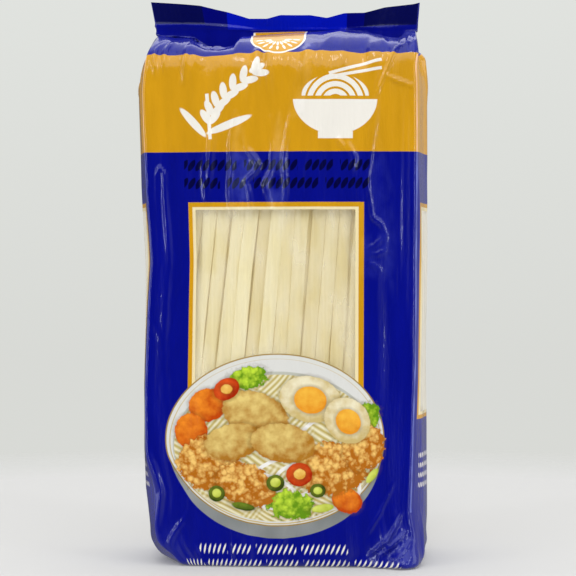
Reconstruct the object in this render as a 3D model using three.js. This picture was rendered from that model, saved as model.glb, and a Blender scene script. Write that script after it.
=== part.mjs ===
// A full, sealed side-gusset film pack of dried flat rice noodles, standing on its folded base.
// Millimetres, +Z up, printed front towards -Y, origin in the middle of the base.
// The pack is one closed solid: rings of points climb from the flat base to the wavy top seal.

import * as THREE from "three";

// Driving sizes of the filled pack.
const CREASE_HALF_DEPTH = 26; // centre line to the line through the two front creases
const PANEL_BULGE = 3; // how far the middle of the front and back stands out from its creases
const CREASE_ROUNDING = 5; // radius of the soft edge along a crease
const CREASE_SHARPNESS = 14; // higher keeps that edge closer to the crease

// The base, where the film folds under.
const BASE_ROUNDING = 3.2; // radius of the edge between the base and the upright panels

// Heights, and how far the creases lie from the centre line there. The folded corner at the left is
// tucked in at the base, with a dent above it.
const LEFT_CREASE = [
  [0, 40.5],
  [5, 45.5],
  [8.5, 50.5],
  [15, 52],
  [30, 51],
  [45, 55],
  [71, 55.5],
  [107, 54],
  [123, 53],
  [148, 55],
  [190, 56.5],
  [203, 56],
  [214, 54],
];
const RIGHT_CREASE = [
  [0, 54],
  [5, 53.5],
  [23, 50],
  [45, 51],
  [87, 52],
  [148, 52.5],
  [200, 52.5],
  [214, 54],
];

// The same for the middle of each side, which is fullest under the shoulders.
const LEFT_MIDDLE = [
  [0, 46.5],
  [2.5, 50.5],
  [5, 52.5],
  [11, 55],
  [31, 58],
  [87, 57.5],
  [148, 59],
  [189, 60.5],
  [195, 60.5],
  [203, 57],
  [210, 54.5],
  [214, 54],
];
const RIGHT_MIDDLE = [
  [0, 56],
  [5, 58],
  [55, 58],
  [150, 58.5],
  [194, 58.5],
  [200, 57.5],
  [206, 55],
  [214, 54.5],
];

// The shoulders, where front and back roll together under the seal.
const SHOULDER_START = 198; // height where the body begins to narrow
const CREST_TOP = 218.2; // height of its crest at the highest
const SHOULDER_POWER = 2.6; // higher keeps the body full for longer
const SHOULDER_ROUNDNESS = 0.6; // lower turns the shoulder in more sharply at its crest
const GUSSET_DIP = 20; // how deep the sides tuck in, like a V, between the shoulders
const GUSSET_OPENS = [0.15, 0.75]; // shares of the shoulders' height where the V deepens
const GUSSET_CLOSES = [0.86, 1]; // and where it closes again

// Places across the pack and the height of the shoulder's crest there, with a dent at its left.
const CREST = [
  [-49, 217],
  [-38.5, 216.2],
  [-29.5, 211],
  [-24, 210.4],
  [-20, 213],
  [-17.5, 216.6],
  [4, 218.2],
  [34, 218],
  [43.5, 215.2],
  [49.5, 218],
];

// The top seal, a thin crimped strip.
const SEAL_START = 219.2; // height of its foot
const SEAL_HALF_WIDTH = 55;
const SEAL_THICKNESS = 1.2;
const SEAL_SWAY = 1.1; // waves of the strip, front to back
const SWAY_LENGTH = 13; // distance across over which such a wave turns by one radian
const EAR_FLARE = { left: 2.4, right: -0.9 }; // how far each upper corner of it leans to the left
const EAR_SPAN = [0.3, 0.75]; // shares of the half width over which that lean sets in

// Places across the pack and the height of the seal's cut edge there: it waves, with an ear at each end.
const TOP_EDGE = [
  [-56, 231.6],
  [-40, 230.2],
  [-28, 227.9],
  [-15.5, 224.1],
  [-8, 224.1],
  [-2.5, 225.7],
  [10, 225.7],
  [17, 224.4],
  [24, 226.2],
  [32, 226.3],
  [40, 228.4],
  [56, 230.6],
];

// Long soft ridges pressed into the film by the noodles behind it.
const RIDGE_DEPTH = 0.45;
const RIDGE_PITCH = 9.5;
const RIDGE_WANDER = 2.2; // how far a ridge strays to its sides
const WANDER_LENGTH = 31; // height over which it strays by one radian of its wave
const RIDGES_BEGIN = [8, 40]; // heights where the ridges rise out of the base
const RIDGES_END = [175, 200]; // and where they fade towards the shoulders

// How many faces the surface is cut into.
const BASE_RING_HEIGHTS = [0, 0.6, 1.6, 3];
const PANEL_COLUMNS = 24;
const SIDE_COLUMNS = 12;
const BODY_RINGS = 38;
const SHOULDER_RINGS = 18;
const SEAL_RINGS = 4;

const lerp = THREE.MathUtils.lerp;
const smoothstep = THREE.MathUtils.smoothstep;

// 0 at the foot of the shoulders, 1 where they meet the seal.
function shoulderShare(height) {
  return THREE.MathUtils.clamp((height - SHOULDER_START) / (CREST_TOP - SHOULDER_START), 0, 1);
}

// The value of an outline, given as places and values, at a place between them.
function valueAt(outline, x) {
  const next = outline.findIndex(([place]) => place >= x);
  if (next <= 0) {
    return next === 0 ? outline[0][1] : outline[outline.length - 1][1];
  }
  const [before, after] = outline.slice(next - 1, next + 1);
  return lerp(before[1], after[1], (x - before[0]) / (after[0] - before[0]));
}

// 1 on the body, falling to 0 where the film has rolled over the shoulder's crest to the seal.
function shoulderClosing(height) {
  return Math.pow(1 - Math.pow(shoulderShare(height), SHOULDER_POWER), SHOULDER_ROUNDNESS);
}

// How far the left (side -1) or the right (side 1) reaches from the centre line at a height.
function reachesAt(height, side) {
  const crease = valueAt(side < 0 ? LEFT_CREASE : RIGHT_CREASE, height);
  const middle = valueAt(side < 0 ? LEFT_MIDDLE : RIGHT_MIDDLE, height);
  return { crease, middle };
}

// How deep the gusset's middle crease tucks in between the shoulders, closed again at the seal.
function gussetDip(height) {
  const share = shoulderShare(height);
  return GUSSET_DIP * smoothstep(share, ...GUSSET_OPENS) * (1 - smoothstep(share, ...GUSSET_CLOSES));
}

// How far a rounded bottom edge pulls a panel in at a height.
function baseInset(height) {
  if (height >= BASE_ROUNDING) {
    return 0;
  }
  const down = 1 - height / BASE_ROUNDING;
  return BASE_ROUNDING * (1 - Math.sqrt(1 - down * down));
}

// Long ridges that fade towards the base and the shoulders.
function ridge(along, height, phase) {
  const fade = smoothstep(height, ...RIDGES_BEGIN) * (1 - smoothstep(height, ...RIDGES_END));
  const wander = RIDGE_WANDER * Math.sin(height / WANDER_LENGTH + phase);
  return RIDGE_DEPTH * fade * Math.cos((2 * Math.PI * (along + wander)) / RIDGE_PITCH);
}

// One ring of the body: front left to right, right side, back right to left, left side.
function bodyRing(height) {
  const left = reachesAt(height, -1);
  const right = reachesAt(height, 1);
  const closing = shoulderClosing(height);
  const halfDepth = lerp(SEAL_THICKNESS / 2, CREASE_HALF_DEPTH, closing);
  const rounding = Math.min(CREASE_ROUNDING, halfDepth * 0.6);
  const under = baseInset(height);
  const ring = [];

  // A point on the front (side -1) or back (side 1), by its share from -1 at the left to 1.
  const panelPoint = (share, side) => {
    const reach = share < 0 ? left.crease : right.crease;
    const x = share * (reach - under);
    const fullness = PANEL_BULGE * closing * (1 - share * share);
    const bulge = fullness - (rounding / 2) * Math.pow(Math.abs(share), CREASE_SHARPNESS);
    const relief = ridge(share * SEAL_HALF_WIDTH, height, side) * (1 - share * share);
    return [x, side * (halfDepth + Math.max(bulge, -halfDepth / 2) + relief - under), height];
  };

  // A point on the right (side 1) or left (side -1), by its share from -1 at the front to 1.
  const sidePoint = (share, side) => {
    const { crease, middle } = side < 0 ? left : right;
    const fullness = (middle - crease) * (1 - share * share);
    const relief = ridge(share * halfDepth, height, 2 + side) * (1 - share * share);
    const reach = crease - under + fullness + relief - gussetDip(height) * (1 - Math.abs(share));
    return [side * reach, share * (halfDepth - under - rounding / 2), height];
  };

  for (let i = 0; i <= PANEL_COLUMNS; i += 1) {
    ring.push(panelPoint(-1 + (2 * i) / PANEL_COLUMNS, -1));
  }
  for (let i = 1; i < SIDE_COLUMNS; i += 1) {
    ring.push(sidePoint(-1 + (2 * i) / SIDE_COLUMNS, 1));
  }
  for (let i = 0; i <= PANEL_COLUMNS; i += 1) {
    ring.push(panelPoint(1 - (2 * i) / PANEL_COLUMNS, 1));
  }
  for (let i = 1; i < SIDE_COLUMNS; i += 1) {
    ring.push(sidePoint(1 - (2 * i) / SIDE_COLUMNS, -1));
  }
  return ring;
}

// Brings the shoulder to its crest and the seal to its cut edge, and sways both in soft waves. Near
// the seal's ends its upper edge flares a little to the left.
function bendTop([x, y, height]) {
  const crest = valueAt(CREST, x);
  const neck = THREE.MathUtils.clamp((height - CREST_TOP) / (SEAL_START - CREST_TOP), 0, 1);
  const up = Math.max(0, height - SEAL_START);
  const shoulder = Math.min(height, SHOULDER_START) + shoulderShare(height) * (crest - SHOULDER_START);
  const seal = neck * (SEAL_START - crest) + up * (valueAt(TOP_EDGE, x) - SEAL_START);
  const sway = SEAL_SWAY * Math.sin(x / SWAY_LENGTH + 1) * smoothstep(height, SHOULDER_START, SEAL_START);
  const ear = smoothstep(Math.abs(x) / SEAL_HALF_WIDTH, ...EAR_SPAN);
  const flare = (x < 0 ? EAR_FLARE.left : EAR_FLARE.right) * ear * up;
  return [x - flare, y + sway, shoulder + seal];
}

// The heights of the rings, closer together where the outline turns. Over the foot of the seal they
// count from 0 to 1, up to its cut edge.
function ringHeights() {
  const heights = [...BASE_RING_HEIGHTS];
  for (let i = 0; i < BODY_RINGS; i += 1) {
    heights.push(lerp(BASE_ROUNDING, SHOULDER_START, i / BODY_RINGS));
  }
  for (let i = 0; i < SHOULDER_RINGS; i += 1) {
    heights.push(lerp(SHOULDER_START, CREST_TOP, Math.sin((Math.PI / 2) * (i / SHOULDER_RINGS))));
  }
  heights.push(CREST_TOP);
  for (let i = 0; i <= SEAL_RINGS; i += 1) {
    heights.push(SEAL_START + i / SEAL_RINGS);
  }
  return heights;
}

// Joins the rings, closes the base with flat strips and the top edge with a narrow one.
function packGeometry() {
  const rings = ringHeights().map((height) => bodyRing(height).map(bendTop));
  const around = rings[0].length;
  const positions = rings.flat(2);
  const index = [];

  for (let r = 0; r + 1 < rings.length; r += 1) {
    for (let i = 0; i < around; i += 1) {
      const low = r * around + i;
      const lowNext = r * around + ((i + 1) % around);
      index.push(low, lowNext, lowNext + around, low, lowNext + around, low + around);
    }
  }

  // The outline is closed across: each front point with the back point opposite to it.
  const closeAcross = (start, upwards) => {
    const add = (a, b, c) => (upwards ? index.push(start + a, start + b, start + c)
      : index.push(start + a, start + c, start + b));
    const backRight = PANEL_COLUMNS + SIDE_COLUMNS;
    const opposite = (i) => backRight + PANEL_COLUMNS - i;
    for (let i = 0; i < PANEL_COLUMNS; i += 1) {
      add(i, i + 1, opposite(i + 1));
      add(i, opposite(i + 1), opposite(i));
    }
    for (let i = PANEL_COLUMNS + 1; i < backRight; i += 1) {
      add(PANEL_COLUMNS, i, i + 1);
    }
    for (let i = backRight + PANEL_COLUMNS; i + 1 < around; i += 1) {
      add(0, i, i + 1);
    }
  };
  closeAcross(0, false);
  closeAcross((rings.length - 1) * around, true);

  const geometry = new THREE.BufferGeometry();
  geometry.setAttribute("position", new THREE.Float32BufferAttribute(positions, 3));
  geometry.setIndex(index);
  geometry.computeVertexNormals();
  return geometry;
}

const printedFilm = new THREE.MeshStandardMaterial({ color: 0x06109a, roughness: 0.25, metalness: 0 });
const pack = new THREE.Mesh(packGeometry(), printedFilm);
pack.name = "noodle_pack";

const group = new THREE.Group();
group.add(pack);

export default group;
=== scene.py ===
import math

import bpy
import numpy as np
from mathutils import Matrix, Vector


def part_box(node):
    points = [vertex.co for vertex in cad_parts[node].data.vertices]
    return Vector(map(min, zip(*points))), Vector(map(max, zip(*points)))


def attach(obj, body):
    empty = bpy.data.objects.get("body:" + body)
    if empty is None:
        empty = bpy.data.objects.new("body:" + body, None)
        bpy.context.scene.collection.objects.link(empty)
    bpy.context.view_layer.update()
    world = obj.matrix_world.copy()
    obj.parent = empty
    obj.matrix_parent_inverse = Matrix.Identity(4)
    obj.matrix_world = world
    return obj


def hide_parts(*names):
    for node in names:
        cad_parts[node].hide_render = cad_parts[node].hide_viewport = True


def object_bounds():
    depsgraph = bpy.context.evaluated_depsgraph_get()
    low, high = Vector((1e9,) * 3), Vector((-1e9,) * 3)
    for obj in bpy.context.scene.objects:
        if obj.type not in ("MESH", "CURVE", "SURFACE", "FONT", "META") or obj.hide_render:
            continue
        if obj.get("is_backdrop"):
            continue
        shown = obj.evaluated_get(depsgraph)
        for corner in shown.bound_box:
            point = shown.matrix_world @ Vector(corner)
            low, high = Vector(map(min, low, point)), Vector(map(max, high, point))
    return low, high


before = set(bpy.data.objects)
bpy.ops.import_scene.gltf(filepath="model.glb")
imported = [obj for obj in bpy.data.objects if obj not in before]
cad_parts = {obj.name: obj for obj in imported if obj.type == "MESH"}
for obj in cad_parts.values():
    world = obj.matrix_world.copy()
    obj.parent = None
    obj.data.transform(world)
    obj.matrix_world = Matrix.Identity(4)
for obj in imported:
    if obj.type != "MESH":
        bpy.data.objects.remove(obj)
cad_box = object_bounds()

scene = bpy.context.scene


# Measures and shader nodes.
# Sizes are in millimetres, and MM turns them into metres where a mesh or a shader takes them.

MM = 0.001


def between(a, b, share):
    """The value this share of the way from a to b."""
    return a + (b - a) * share


def ease(value, start, end):
    """0 up to the start, 1 from the end on, and a smooth step between them."""
    share = np.clip((value - start) / (end - start), 0.0, 1.0)
    return share * share * (3.0 - 2.0 * share)


def feed(tree, socket, value):
    """Links a socket to an input, or gives the input a plain value."""
    if isinstance(value, bpy.types.NodeSocket):
        tree.links.new(value, socket)
    else:
        socket.default_value = value


def add_node(tree, kind, inputs=(), **settings):
    """A new node with these settings, and its inputs by name or number."""
    node = tree.nodes.new(kind)
    for name, value in settings.items():
        setattr(node, name, value)
    for socket, value in dict(inputs).items():
        feed(tree, node.inputs[socket], value)
    return node


def maths(tree, operation, *values, clamp=False):
    """The result of a shader operation on numbers."""
    node = add_node(tree, "ShaderNodeMath", enumerate(values), operation=operation, use_clamp=clamp)
    return node.outputs[0]


def vector_maths(tree, operation, *values, output="Vector"):
    """The result of a shader operation on places, directions or colours."""
    node = add_node(tree, "ShaderNodeVectorMath", enumerate(values), operation=operation)
    return node.outputs[output]


def lay_ink(tree, under, ink, mask):
    """One colour over another, as far as the mask is 1."""
    colours = {"Factor": mask, "A": under, "B": ink}
    return add_node(tree, "ShaderNodeMix", colours, data_type="RGBA").outputs["Result"]


def noise(tree, place, scale, detail=2.0, output="Fac"):
    """Cloudy noise, as many clouds to a unit of the place as the scale."""
    inputs = {"Scale": scale, "Detail": detail, "Vector": place}
    return add_node(tree, "ShaderNodeTexNoise", inputs).outputs[output]


# The dried noodles.
# Flat rice noodles a little over 5 mm wide and just under a millimetre thick stand along the bag.
# Drying has left each one slightly bowed. Their outer layers lie round one plain packed core.

pack_low, pack_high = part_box("noodle_pack")
HALF_WIDTH = (pack_high[0] - pack_low[0]) / 2 / MM
CREASE_HALF_DEPTH = 26.0  # from the middle of the bag to the creases of its front and back
FRONT_BULGE = 3.0  # how much further the middle of the front stands out
BODY_HALF_WIDTH = HALF_WIDTH - 7.0  # of the bag without its fuller sides
SIDE_MIDDLE = HALF_WIDTH - 2.9  # to the film over the middle of a side
SIDE_CORNER = HALF_WIDTH - 11.2  # to where the noodles of a side turn in to its creases

NOODLE_WIDTH, NOODLE_THICKNESS = 5.5, 0.9
NOODLE_BOW = 2.4  # how far a noodle strays from straight
NOODLE_PITCH, SIDE_PITCH = 5.6, 5.32
NOODLE_FOOT, NOODLE_TOP = 9.0, 196.0
FIRST_LAYER = 2.6  # from the film to the middle of the outermost noodles
LAYER_STEP = 1.35
FACE_LAYERS, SIDE_LAYERS = 3, 2
FACE_HALF_COUNT, SIDE_HALF_COUNT = 8, 4  # noodles of a layer on each side of its middle one
ROOM_LEFT, ROOM_RIGHT = HALF_WIDTH - 12.4, HALF_WIDTH - 13.4  # for the noodles behind the front
SIDE_ROOM = 21.4  # from the middle of a side to its last noodle
FACE_SHIFT, SIDE_SHIFT = 0.45, 0.5  # of a pitch, from each layer to the next
LEAN_LEFT, LEAN_RIGHT = 6.0, 3.4  # degrees to the right, of the noodles behind the front and back
MOST_SWING = 9.0  # degrees that a noodle's flat side turns from the film
CORNER_LIFTS = [(-53, 22), (-38, 0), (46, 0), (53, 7)]  # how much higher noodles start at a place across

NOODLE_SHADE, NOODLE_CREAM = (0.57, 0.46, 0.2, 1), (0.81, 0.74, 0.455, 1)
NOODLE_PAINTED_GLOW = (0.77, 0.62, 0.27, 1)  # painted glow, standing in for the light that comes through the noodles
# How strong the painted glow of the noodles is.
PAINTED_GLOW_STRENGTH = 0.13
SHADES = (0.04, 0.42)  # of the outermost noodles, from darker to paler
LAYER_PAINTED_SHADE = 0.1  # painted shade: how much darker each deeper layer is
FIBRES = (1100.0, 1100.0, 18.0)  # per metre: fine across a noodle and long up it
GRAIN_DEPTH = 0.15

NOODLE_CUTS = 24  # points along each noodle
NOODLE_WAVES = 13.0  # per metre, of how it strays
WAVES_APART = 40.0  # keeps the waves of different noodles unlike
EDGE_SHARE = 0.3  # rounding of a noodle's edges, as a share of its thickness

CORE_INSET = 5.8
CORE_COLUMNS, CORE_ROWS = 176, 24
CORE_RIDGES, RIDGE_SHARE = 44, 0.012  # noodle edges round it, and how far each stands out
CORE_SQUARENESS = 0.18  # 1 for an ellipse, 0 for a rectangle


def noodle_material():
    """Cream noodle with fine fibres along it, each strand in its own shade, with a faint painted glow."""
    material = bpy.data.materials.new("dried rice noodle")
    material.use_nodes = True
    tree = material.node_tree
    strand = add_node(tree, "ShaderNodeAttribute", attribute_name="strand")
    place = add_node(tree, "ShaderNodeTexCoord").outputs["Object"]
    stretched = add_node(tree, "ShaderNodeMapping", {"Vector": place, "Scale": FIBRES})
    fibre = noise(tree, stretched.outputs[0], 1.0, 3.0)
    shade = maths(tree, "MULTIPLY_ADD", fibre, 0.5, strand.outputs["Fac"])
    tone = add_node(tree, "ShaderNodeValToRGB", {"Fac": shade})
    darkest, palest = tone.color_ramp.elements
    darkest.position, darkest.color = 0.12, NOODLE_SHADE
    palest.position, palest.color = 0.75, NOODLE_CREAM
    grain = add_node(tree, "ShaderNodeBump", {
        "Strength": 0.3, "Distance": GRAIN_DEPTH * MM, "Height": fibre,
    })
    for name, value in (
        ("Base Color", tone.outputs["Color"]),
        ("Roughness", 0.45),
        ("Emission Color", NOODLE_PAINTED_GLOW),
        ("Emission Strength", PAINTED_GLOW_STRENGTH),
        ("Normal", grain.outputs["Normal"]),
    ):
        feed(tree, tree.nodes["Principled BSDF"].inputs[name], value)
    return material


def noodle_tree():
    """Geometry Nodes: a flat, slightly wavy noodle stands on every point of the mesh."""
    tree = bpy.data.node_groups.new("noodle_bundle", "GeometryNodeTree")
    for name, kind in (
        ("Geometry", "NodeSocketGeometry"),
        ("Width", "NodeSocketFloat"),
        ("Thickness", "NodeSocketFloat"),
        ("Bow", "NodeSocketFloat"),
        ("Material", "NodeSocketMaterial"),
    ):
        tree.interface.new_socket(name, in_out="INPUT", socket_type=kind)
    tree.interface.new_socket("Geometry", in_out="OUTPUT", socket_type="NodeSocketGeometry")
    given = add_node(tree, "NodeGroupInput").outputs

    def add(kind, inputs=(), output=0, **settings):
        return add_node(tree, kind, inputs, **settings).outputs[output]

    def named(name, kind="FLOAT_VECTOR"):
        return add("GeometryNodeInputNamedAttribute", {"Name": name}, "Attribute", data_type=kind)

    line = add("GeometryNodeCurvePrimitiveLine", {"End": (0, 0, 1)})
    cut_line = add("GeometryNodeResampleCurve", {"Curve": line, "Count": NOODLE_CUTS})
    turned = add("FunctionNodeEulerToRotation", {0: named("lean")})
    standing = add("GeometryNodeInstanceOnPoints", {
        "Points": given["Geometry"], "Instance": cut_line, "Rotation": turned, "Scale": named("reach"),
    })
    loose = add("GeometryNodeRealizeInstances", {0: standing})

    apart = maths(tree, "MULTIPLY", named("strand", "FLOAT"), WAVES_APART)
    waves = add("ShaderNodeTexNoise", {
        "Scale": NOODLE_WAVES, "Detail": 1.0, "Vector": add("GeometryNodeInputPosition"), "W": apart,
    }, "Color", noise_dimensions="4D")
    centred = vector_maths(tree, "SUBTRACT", waves, (0.5, 0.5, 0.5))
    sized = add("ShaderNodeVectorMath", {0: centred, "Scale": given["Bow"]}, operation="SCALE")
    moved = add("GeometryNodeSetPosition", {"Geometry": loose, "Offset": sized})
    facing = named("facing", "FLOAT")
    tilted = add("GeometryNodeSetCurveTilt", {"Curve": moved, "Tilt": facing})

    sides = {"Width": given["Width"], "Height": given["Thickness"]}
    section = add("GeometryNodeCurvePrimitiveQuadrilateral", sides)
    radius = maths(tree, "MULTIPLY", given["Thickness"], EDGE_SHARE)
    corners = {"Curve": section, "Radius": radius, "Count": 1}
    softened = add("GeometryNodeFilletCurve", corners, mode="POLY")
    swept = add("GeometryNodeCurveToMesh", {
        "Curve": tilted, "Profile Curve": softened, "Fill Caps": True,
    })
    whole = add("GeometryNodeRealizeInstances", {0: swept})
    painted = add("GeometryNodeSetMaterial", {"Geometry": whole, "Material": given["Material"]})
    add_node(tree, "NodeGroupOutput", {0: painted})
    return tree


def noodle_feet(random):
    """For every noodle: its foot, lean, scale along each axis, the way its flat side faces and its shade."""
    feet, leans, reaches, facings, shades = [], [], [], [], []
    middle = (NOODLE_FOOT + NOODLE_TOP) / 2

    def stand(x, y, lean_x, lean_y, facing, layer):
        foot, top = NOODLE_FOOT + random.uniform(0, 3), NOODLE_TOP - random.uniform(0, 4)
        foot += np.interp(x, *zip(*CORNER_LIFTS))
        slope = math.tan(lean_x)
        if slope > 0:
            foot = max(foot, middle - (ROOM_LEFT + x) / slope)
            top = min(top, middle + (ROOM_RIGHT - x) / slope)
        feet.append((x + (foot - middle) * slope, y + (foot - middle) * math.tan(lean_y), foot))
        leans.append((-lean_y, lean_x, 0.0))
        reaches.append((1.0, 1.0, (top - foot) * MM / math.cos(lean_x)))
        facings.append(facing)
        # Deeper layers are darker by a painted shade.
        shades.append(random.uniform(*SHADES) - LAYER_PAINTED_SHADE * layer)

    for layer in range(FACE_LAYERS):
        for i in range(-FACE_HALF_COUNT, FACE_HALF_COUNT + 1):
            for side in (-1, 1):
                x = (i + FACE_SHIFT * layer) * NOODLE_PITCH + random.uniform(-0.5, 0.5)
                share = x / BODY_HALF_WIDTH
                depth = CREASE_HALF_DEPTH + FRONT_BULGE * (1 - share * share) - FIRST_LAYER
                depth -= LAYER_STEP * layer + random.uniform(0.0, 0.7)
                lean = between(LEAN_LEFT, LEAN_RIGHT, (share + 1) / 2) + random.uniform(-0.8, 0.8)
                swing = random.uniform(-MOST_SWING, MOST_SWING)
                stand(x, side * depth, math.radians(lean), 0.0, math.radians(90 + swing), layer)
    for layer in range(SIDE_LAYERS):
        for i in range(-SIDE_HALF_COUNT, SIDE_HALF_COUNT + 1):
            for side in (-1, 1):
                y = (i + SIDE_SHIFT * layer) * SIDE_PITCH + random.uniform(-0.4, 0.4)
                y = min(max(y, -SIDE_ROOM), SIDE_ROOM)
                share = y / CREASE_HALF_DEPTH
                reach = between(SIDE_MIDDLE, SIDE_CORNER, share * share) - FIRST_LAYER
                reach -= LAYER_STEP * layer + random.uniform(0.0, 0.6)
                lean = random.uniform(-0.5, 0.5)
                swing = random.uniform(-MOST_SWING, MOST_SWING)
                stand(side * reach, y, 0.0, math.radians(lean), math.radians(swing), layer)
    return np.array(feet) * MM, [np.array(values) for values in (leans, reaches, facings, shades)]


def make_noodles(material):
    """All the noodles of the outer layers as one mesh, grown from a point for each."""
    random = np.random.default_rng(7)
    feet, (leans, reaches, facings, shades) = noodle_feet(random)
    points = bpy.data.meshes.new("noodle_feet")
    points.from_pydata(feet.tolist(), [], [])
    for name, kind, field, values in (
        ("lean", "FLOAT_VECTOR", "vector", leans),
        ("reach", "FLOAT_VECTOR", "vector", reaches),
        ("facing", "FLOAT", "value", facings),
        ("strand", "FLOAT", "value", shades),
    ):
        points.attributes.new(name, kind, "POINT").data.foreach_set(field, values.ravel())
    source = bpy.data.objects.new("noodle_feet", points)
    scene.collection.objects.link(source)
    modifier = source.modifiers.new("noodles", "NODES")
    modifier.node_group = noodle_tree()
    sizes = {
        "Width": NOODLE_WIDTH * MM,
        "Thickness": NOODLE_THICKNESS * MM,
        "Bow": NOODLE_BOW * MM,
        "Material": material,
    }
    for item in modifier.node_group.interface.items_tree:
        if item.in_out == "INPUT" and item.name in sizes:
            modifier[item.identifier] = sizes[item.name]
    graph = bpy.context.evaluated_depsgraph_get()
    made = bpy.data.meshes.new_from_object(source.evaluated_get(graph))
    bpy.data.objects.remove(source)
    noodles = bpy.data.objects.new("noodle_strands", made)
    scene.collection.objects.link(noodles)
    return noodles


def make_core(material):
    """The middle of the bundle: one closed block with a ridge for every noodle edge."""
    turn = np.linspace(0, 2 * math.pi, CORE_COLUMNS, endpoint=False)
    across, inward = np.cos(turn), np.sin(turn)
    x = (BODY_HALF_WIDTH - CORE_INSET) * np.sign(across) * np.abs(across) ** CORE_SQUARENESS
    y = (CREASE_HALF_DEPTH - CORE_INSET) * np.sign(inward) * np.abs(inward) ** CORE_SQUARENESS
    ridge = 1.0 + RIDGE_SHARE * np.cos(turn * CORE_RIDGES)
    heights = np.linspace(NOODLE_FOOT + 1, NOODLE_TOP - 4, CORE_ROWS)
    rings = [np.stack([x * ridge, y * ridge, 0 * x + height], axis=1) for height in heights]
    points = np.concatenate(rings) * MM
    faces = []
    for row in range(CORE_ROWS - 1):
        low, high = row * CORE_COLUMNS, (row + 1) * CORE_COLUMNS
        for i in range(CORE_COLUMNS):
            j = (i + 1) % CORE_COLUMNS
            faces.append((low + i, low + j, high + j, high + i))
    faces.append(tuple(range(CORE_COLUMNS))[::-1])
    faces.append(tuple(range((CORE_ROWS - 1) * CORE_COLUMNS, CORE_ROWS * CORE_COLUMNS)))
    mesh = bpy.data.meshes.new("noodle_core")
    mesh.from_pydata(points.tolist(), [], faces)
    mesh.materials.append(material)
    core = bpy.data.objects.new("noodle_core", mesh)
    scene.collection.objects.link(core)
    return core


dried_noodle = noodle_material()
for noodle_piece in (make_core(dried_noodle), make_noodles(dried_noodle)):
    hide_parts("noodle_pack")
    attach(noodle_piece, "root")


# The film bag and its clear windows.
# Glossy plastic film is formed round the noodles into a brick with a crease down each corner. Its
# shoulders roll back under a thin welded fin, and its bottom corners are tucked in and folded under.
# The ink stops short of a window in every panel, where the same film is clear.

BASE_ROUNDING = 2.4
BASE_HOLLOW, BASE_EDGE = 0.9, 0.15  # heights of the middle of the base and of its edge
SHOULDER_START, CREST_TOP = 198.0, 218.2
SHOULDER_POWER, SHOULDER_ROUNDNESS = 2.6, 0.6  # how long the body stays full, and how it rolls over
CREST_POWER = 2.4  # higher leaves the dents of the crest to its very top
SEAL_START = 219.2
SEAL_TOP = 226.0  # of the rows of points, before the fin is cut to its wavy edge
SEAL_HALF_WIDTH, SEAL_HALF_THICKNESS = 55.0, 0.3
SEAL_LEAN = -0.6
SEAL_SWAY, SWAY_LENGTH = 1.2, 13.0  # of its long waves, front to back
SEAL_RIPPLE, RIPPLE_LENGTH = 0.3, 5.2  # and of the short ones along its edge
EAR_FLARE_LEFT, EAR_FLARE_RIGHT = -2.4, 0.9  # how far the ends of that edge lean out
PINCH, PINCH_HEIGHT, PINCH_SPREAD = 3.4, 214.5, 4.0  # of the front's left corner under the fin
GUSSET_FOLD = 27.0  # half the flat width of a side panel
PANEL_REACH, SIDE_REACH = 53.5, 27.0  # half the width of the print on a panel
CLEAR_LEFT, CLEAR_RIGHT, CLEAR_FOOT, CLEAR_TOP = -35.0, 29.1, 70.0, 143.4
SIDE_CLEAR, SIDE_CLEAR_FOOT = 19.0, 62.0
FRONT_STEP, BACK_STEP, SIDE_STEP, ROW_STEP = 0.78, 1.25, 1.2, 1.0  # from point to point
PANELS, FRONT, BACK = 4, 0, 2  # counted from the front to its right, so the sides are odd
PRINT_MIDDLE = -2.4  # the front's printed design is centred a little to the left

# Heights across the pack: where the shoulder turns in under the fin, the weld, and the fin's edge.
CREST_X = (-49, -38.5, -31, -24, -20.3, -18.2, 4, 34, 43.5, 47, 49.5)
CREST_Z = (217.0, 216.2, 210.6, 209.9, 211.2, 216.4, 218.2, 218.0, 215.2, 215.2, 218.0)
SEAM_X = (-56, -30, -15, 0, 30, 56)
SEAM_Z = (221.6, 220.8, 219.8, 219.6, 219.8, 220.6)
EDGE_X = (-56, -40, -34, -28, -24, -15.5, -8, -2.5, 10, 17, 24, 32, 40, 52, 56)
EDGE_Z = (
    231.6, 230.2, 229.6, 227.9, 226.9, 224.1, 224.1, 225.7,
    225.7, 224.4, 226.2, 226.3, 228.4, 229.6, 230.6,
)

# Heights, and how far the creases, and the middles of the sides, lie from the centre line there.
LEFT_CREASE = [
    (0, 40.5), (5, 45.5), (8.5, 50.5), (15, 52), (30, 51), (45, 55), (71, 55.5), (107, 54),
    (123, 53), (148, 55), (190, 56.5), (203, 56), (214, 54),
]
RIGHT_CREASE = [
    (0, 54), (5, 53.5), (23, 50), (45, 51), (87, 52), (148, 52.5), (200, 52.5), (214, 54),
]
LEFT_MIDDLE = [
    (0, 46.5), (2.5, 50.5), (5, 52.5), (11, 55), (31, 58), (87, 57.5), (148, 59), (189, 60.5),
    (195, 60.5), (203, 57), (210, 54.5), (214, 54),
]
RIGHT_MIDDLE = [
    (0, 56), (5, 58), (55, 58), (150, 58.5), (194, 58.5), (200, 57.5), (206, 55), (214, 54.5),
]


def film_columns(stops, step):
    """Places of columns or rows of points, with one on every stop but the last."""
    spans = zip(stops, stops[1:])
    return np.concatenate([np.linspace(a, b, round((b - a) / step), endpoint=False) for a, b in spans])


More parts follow.
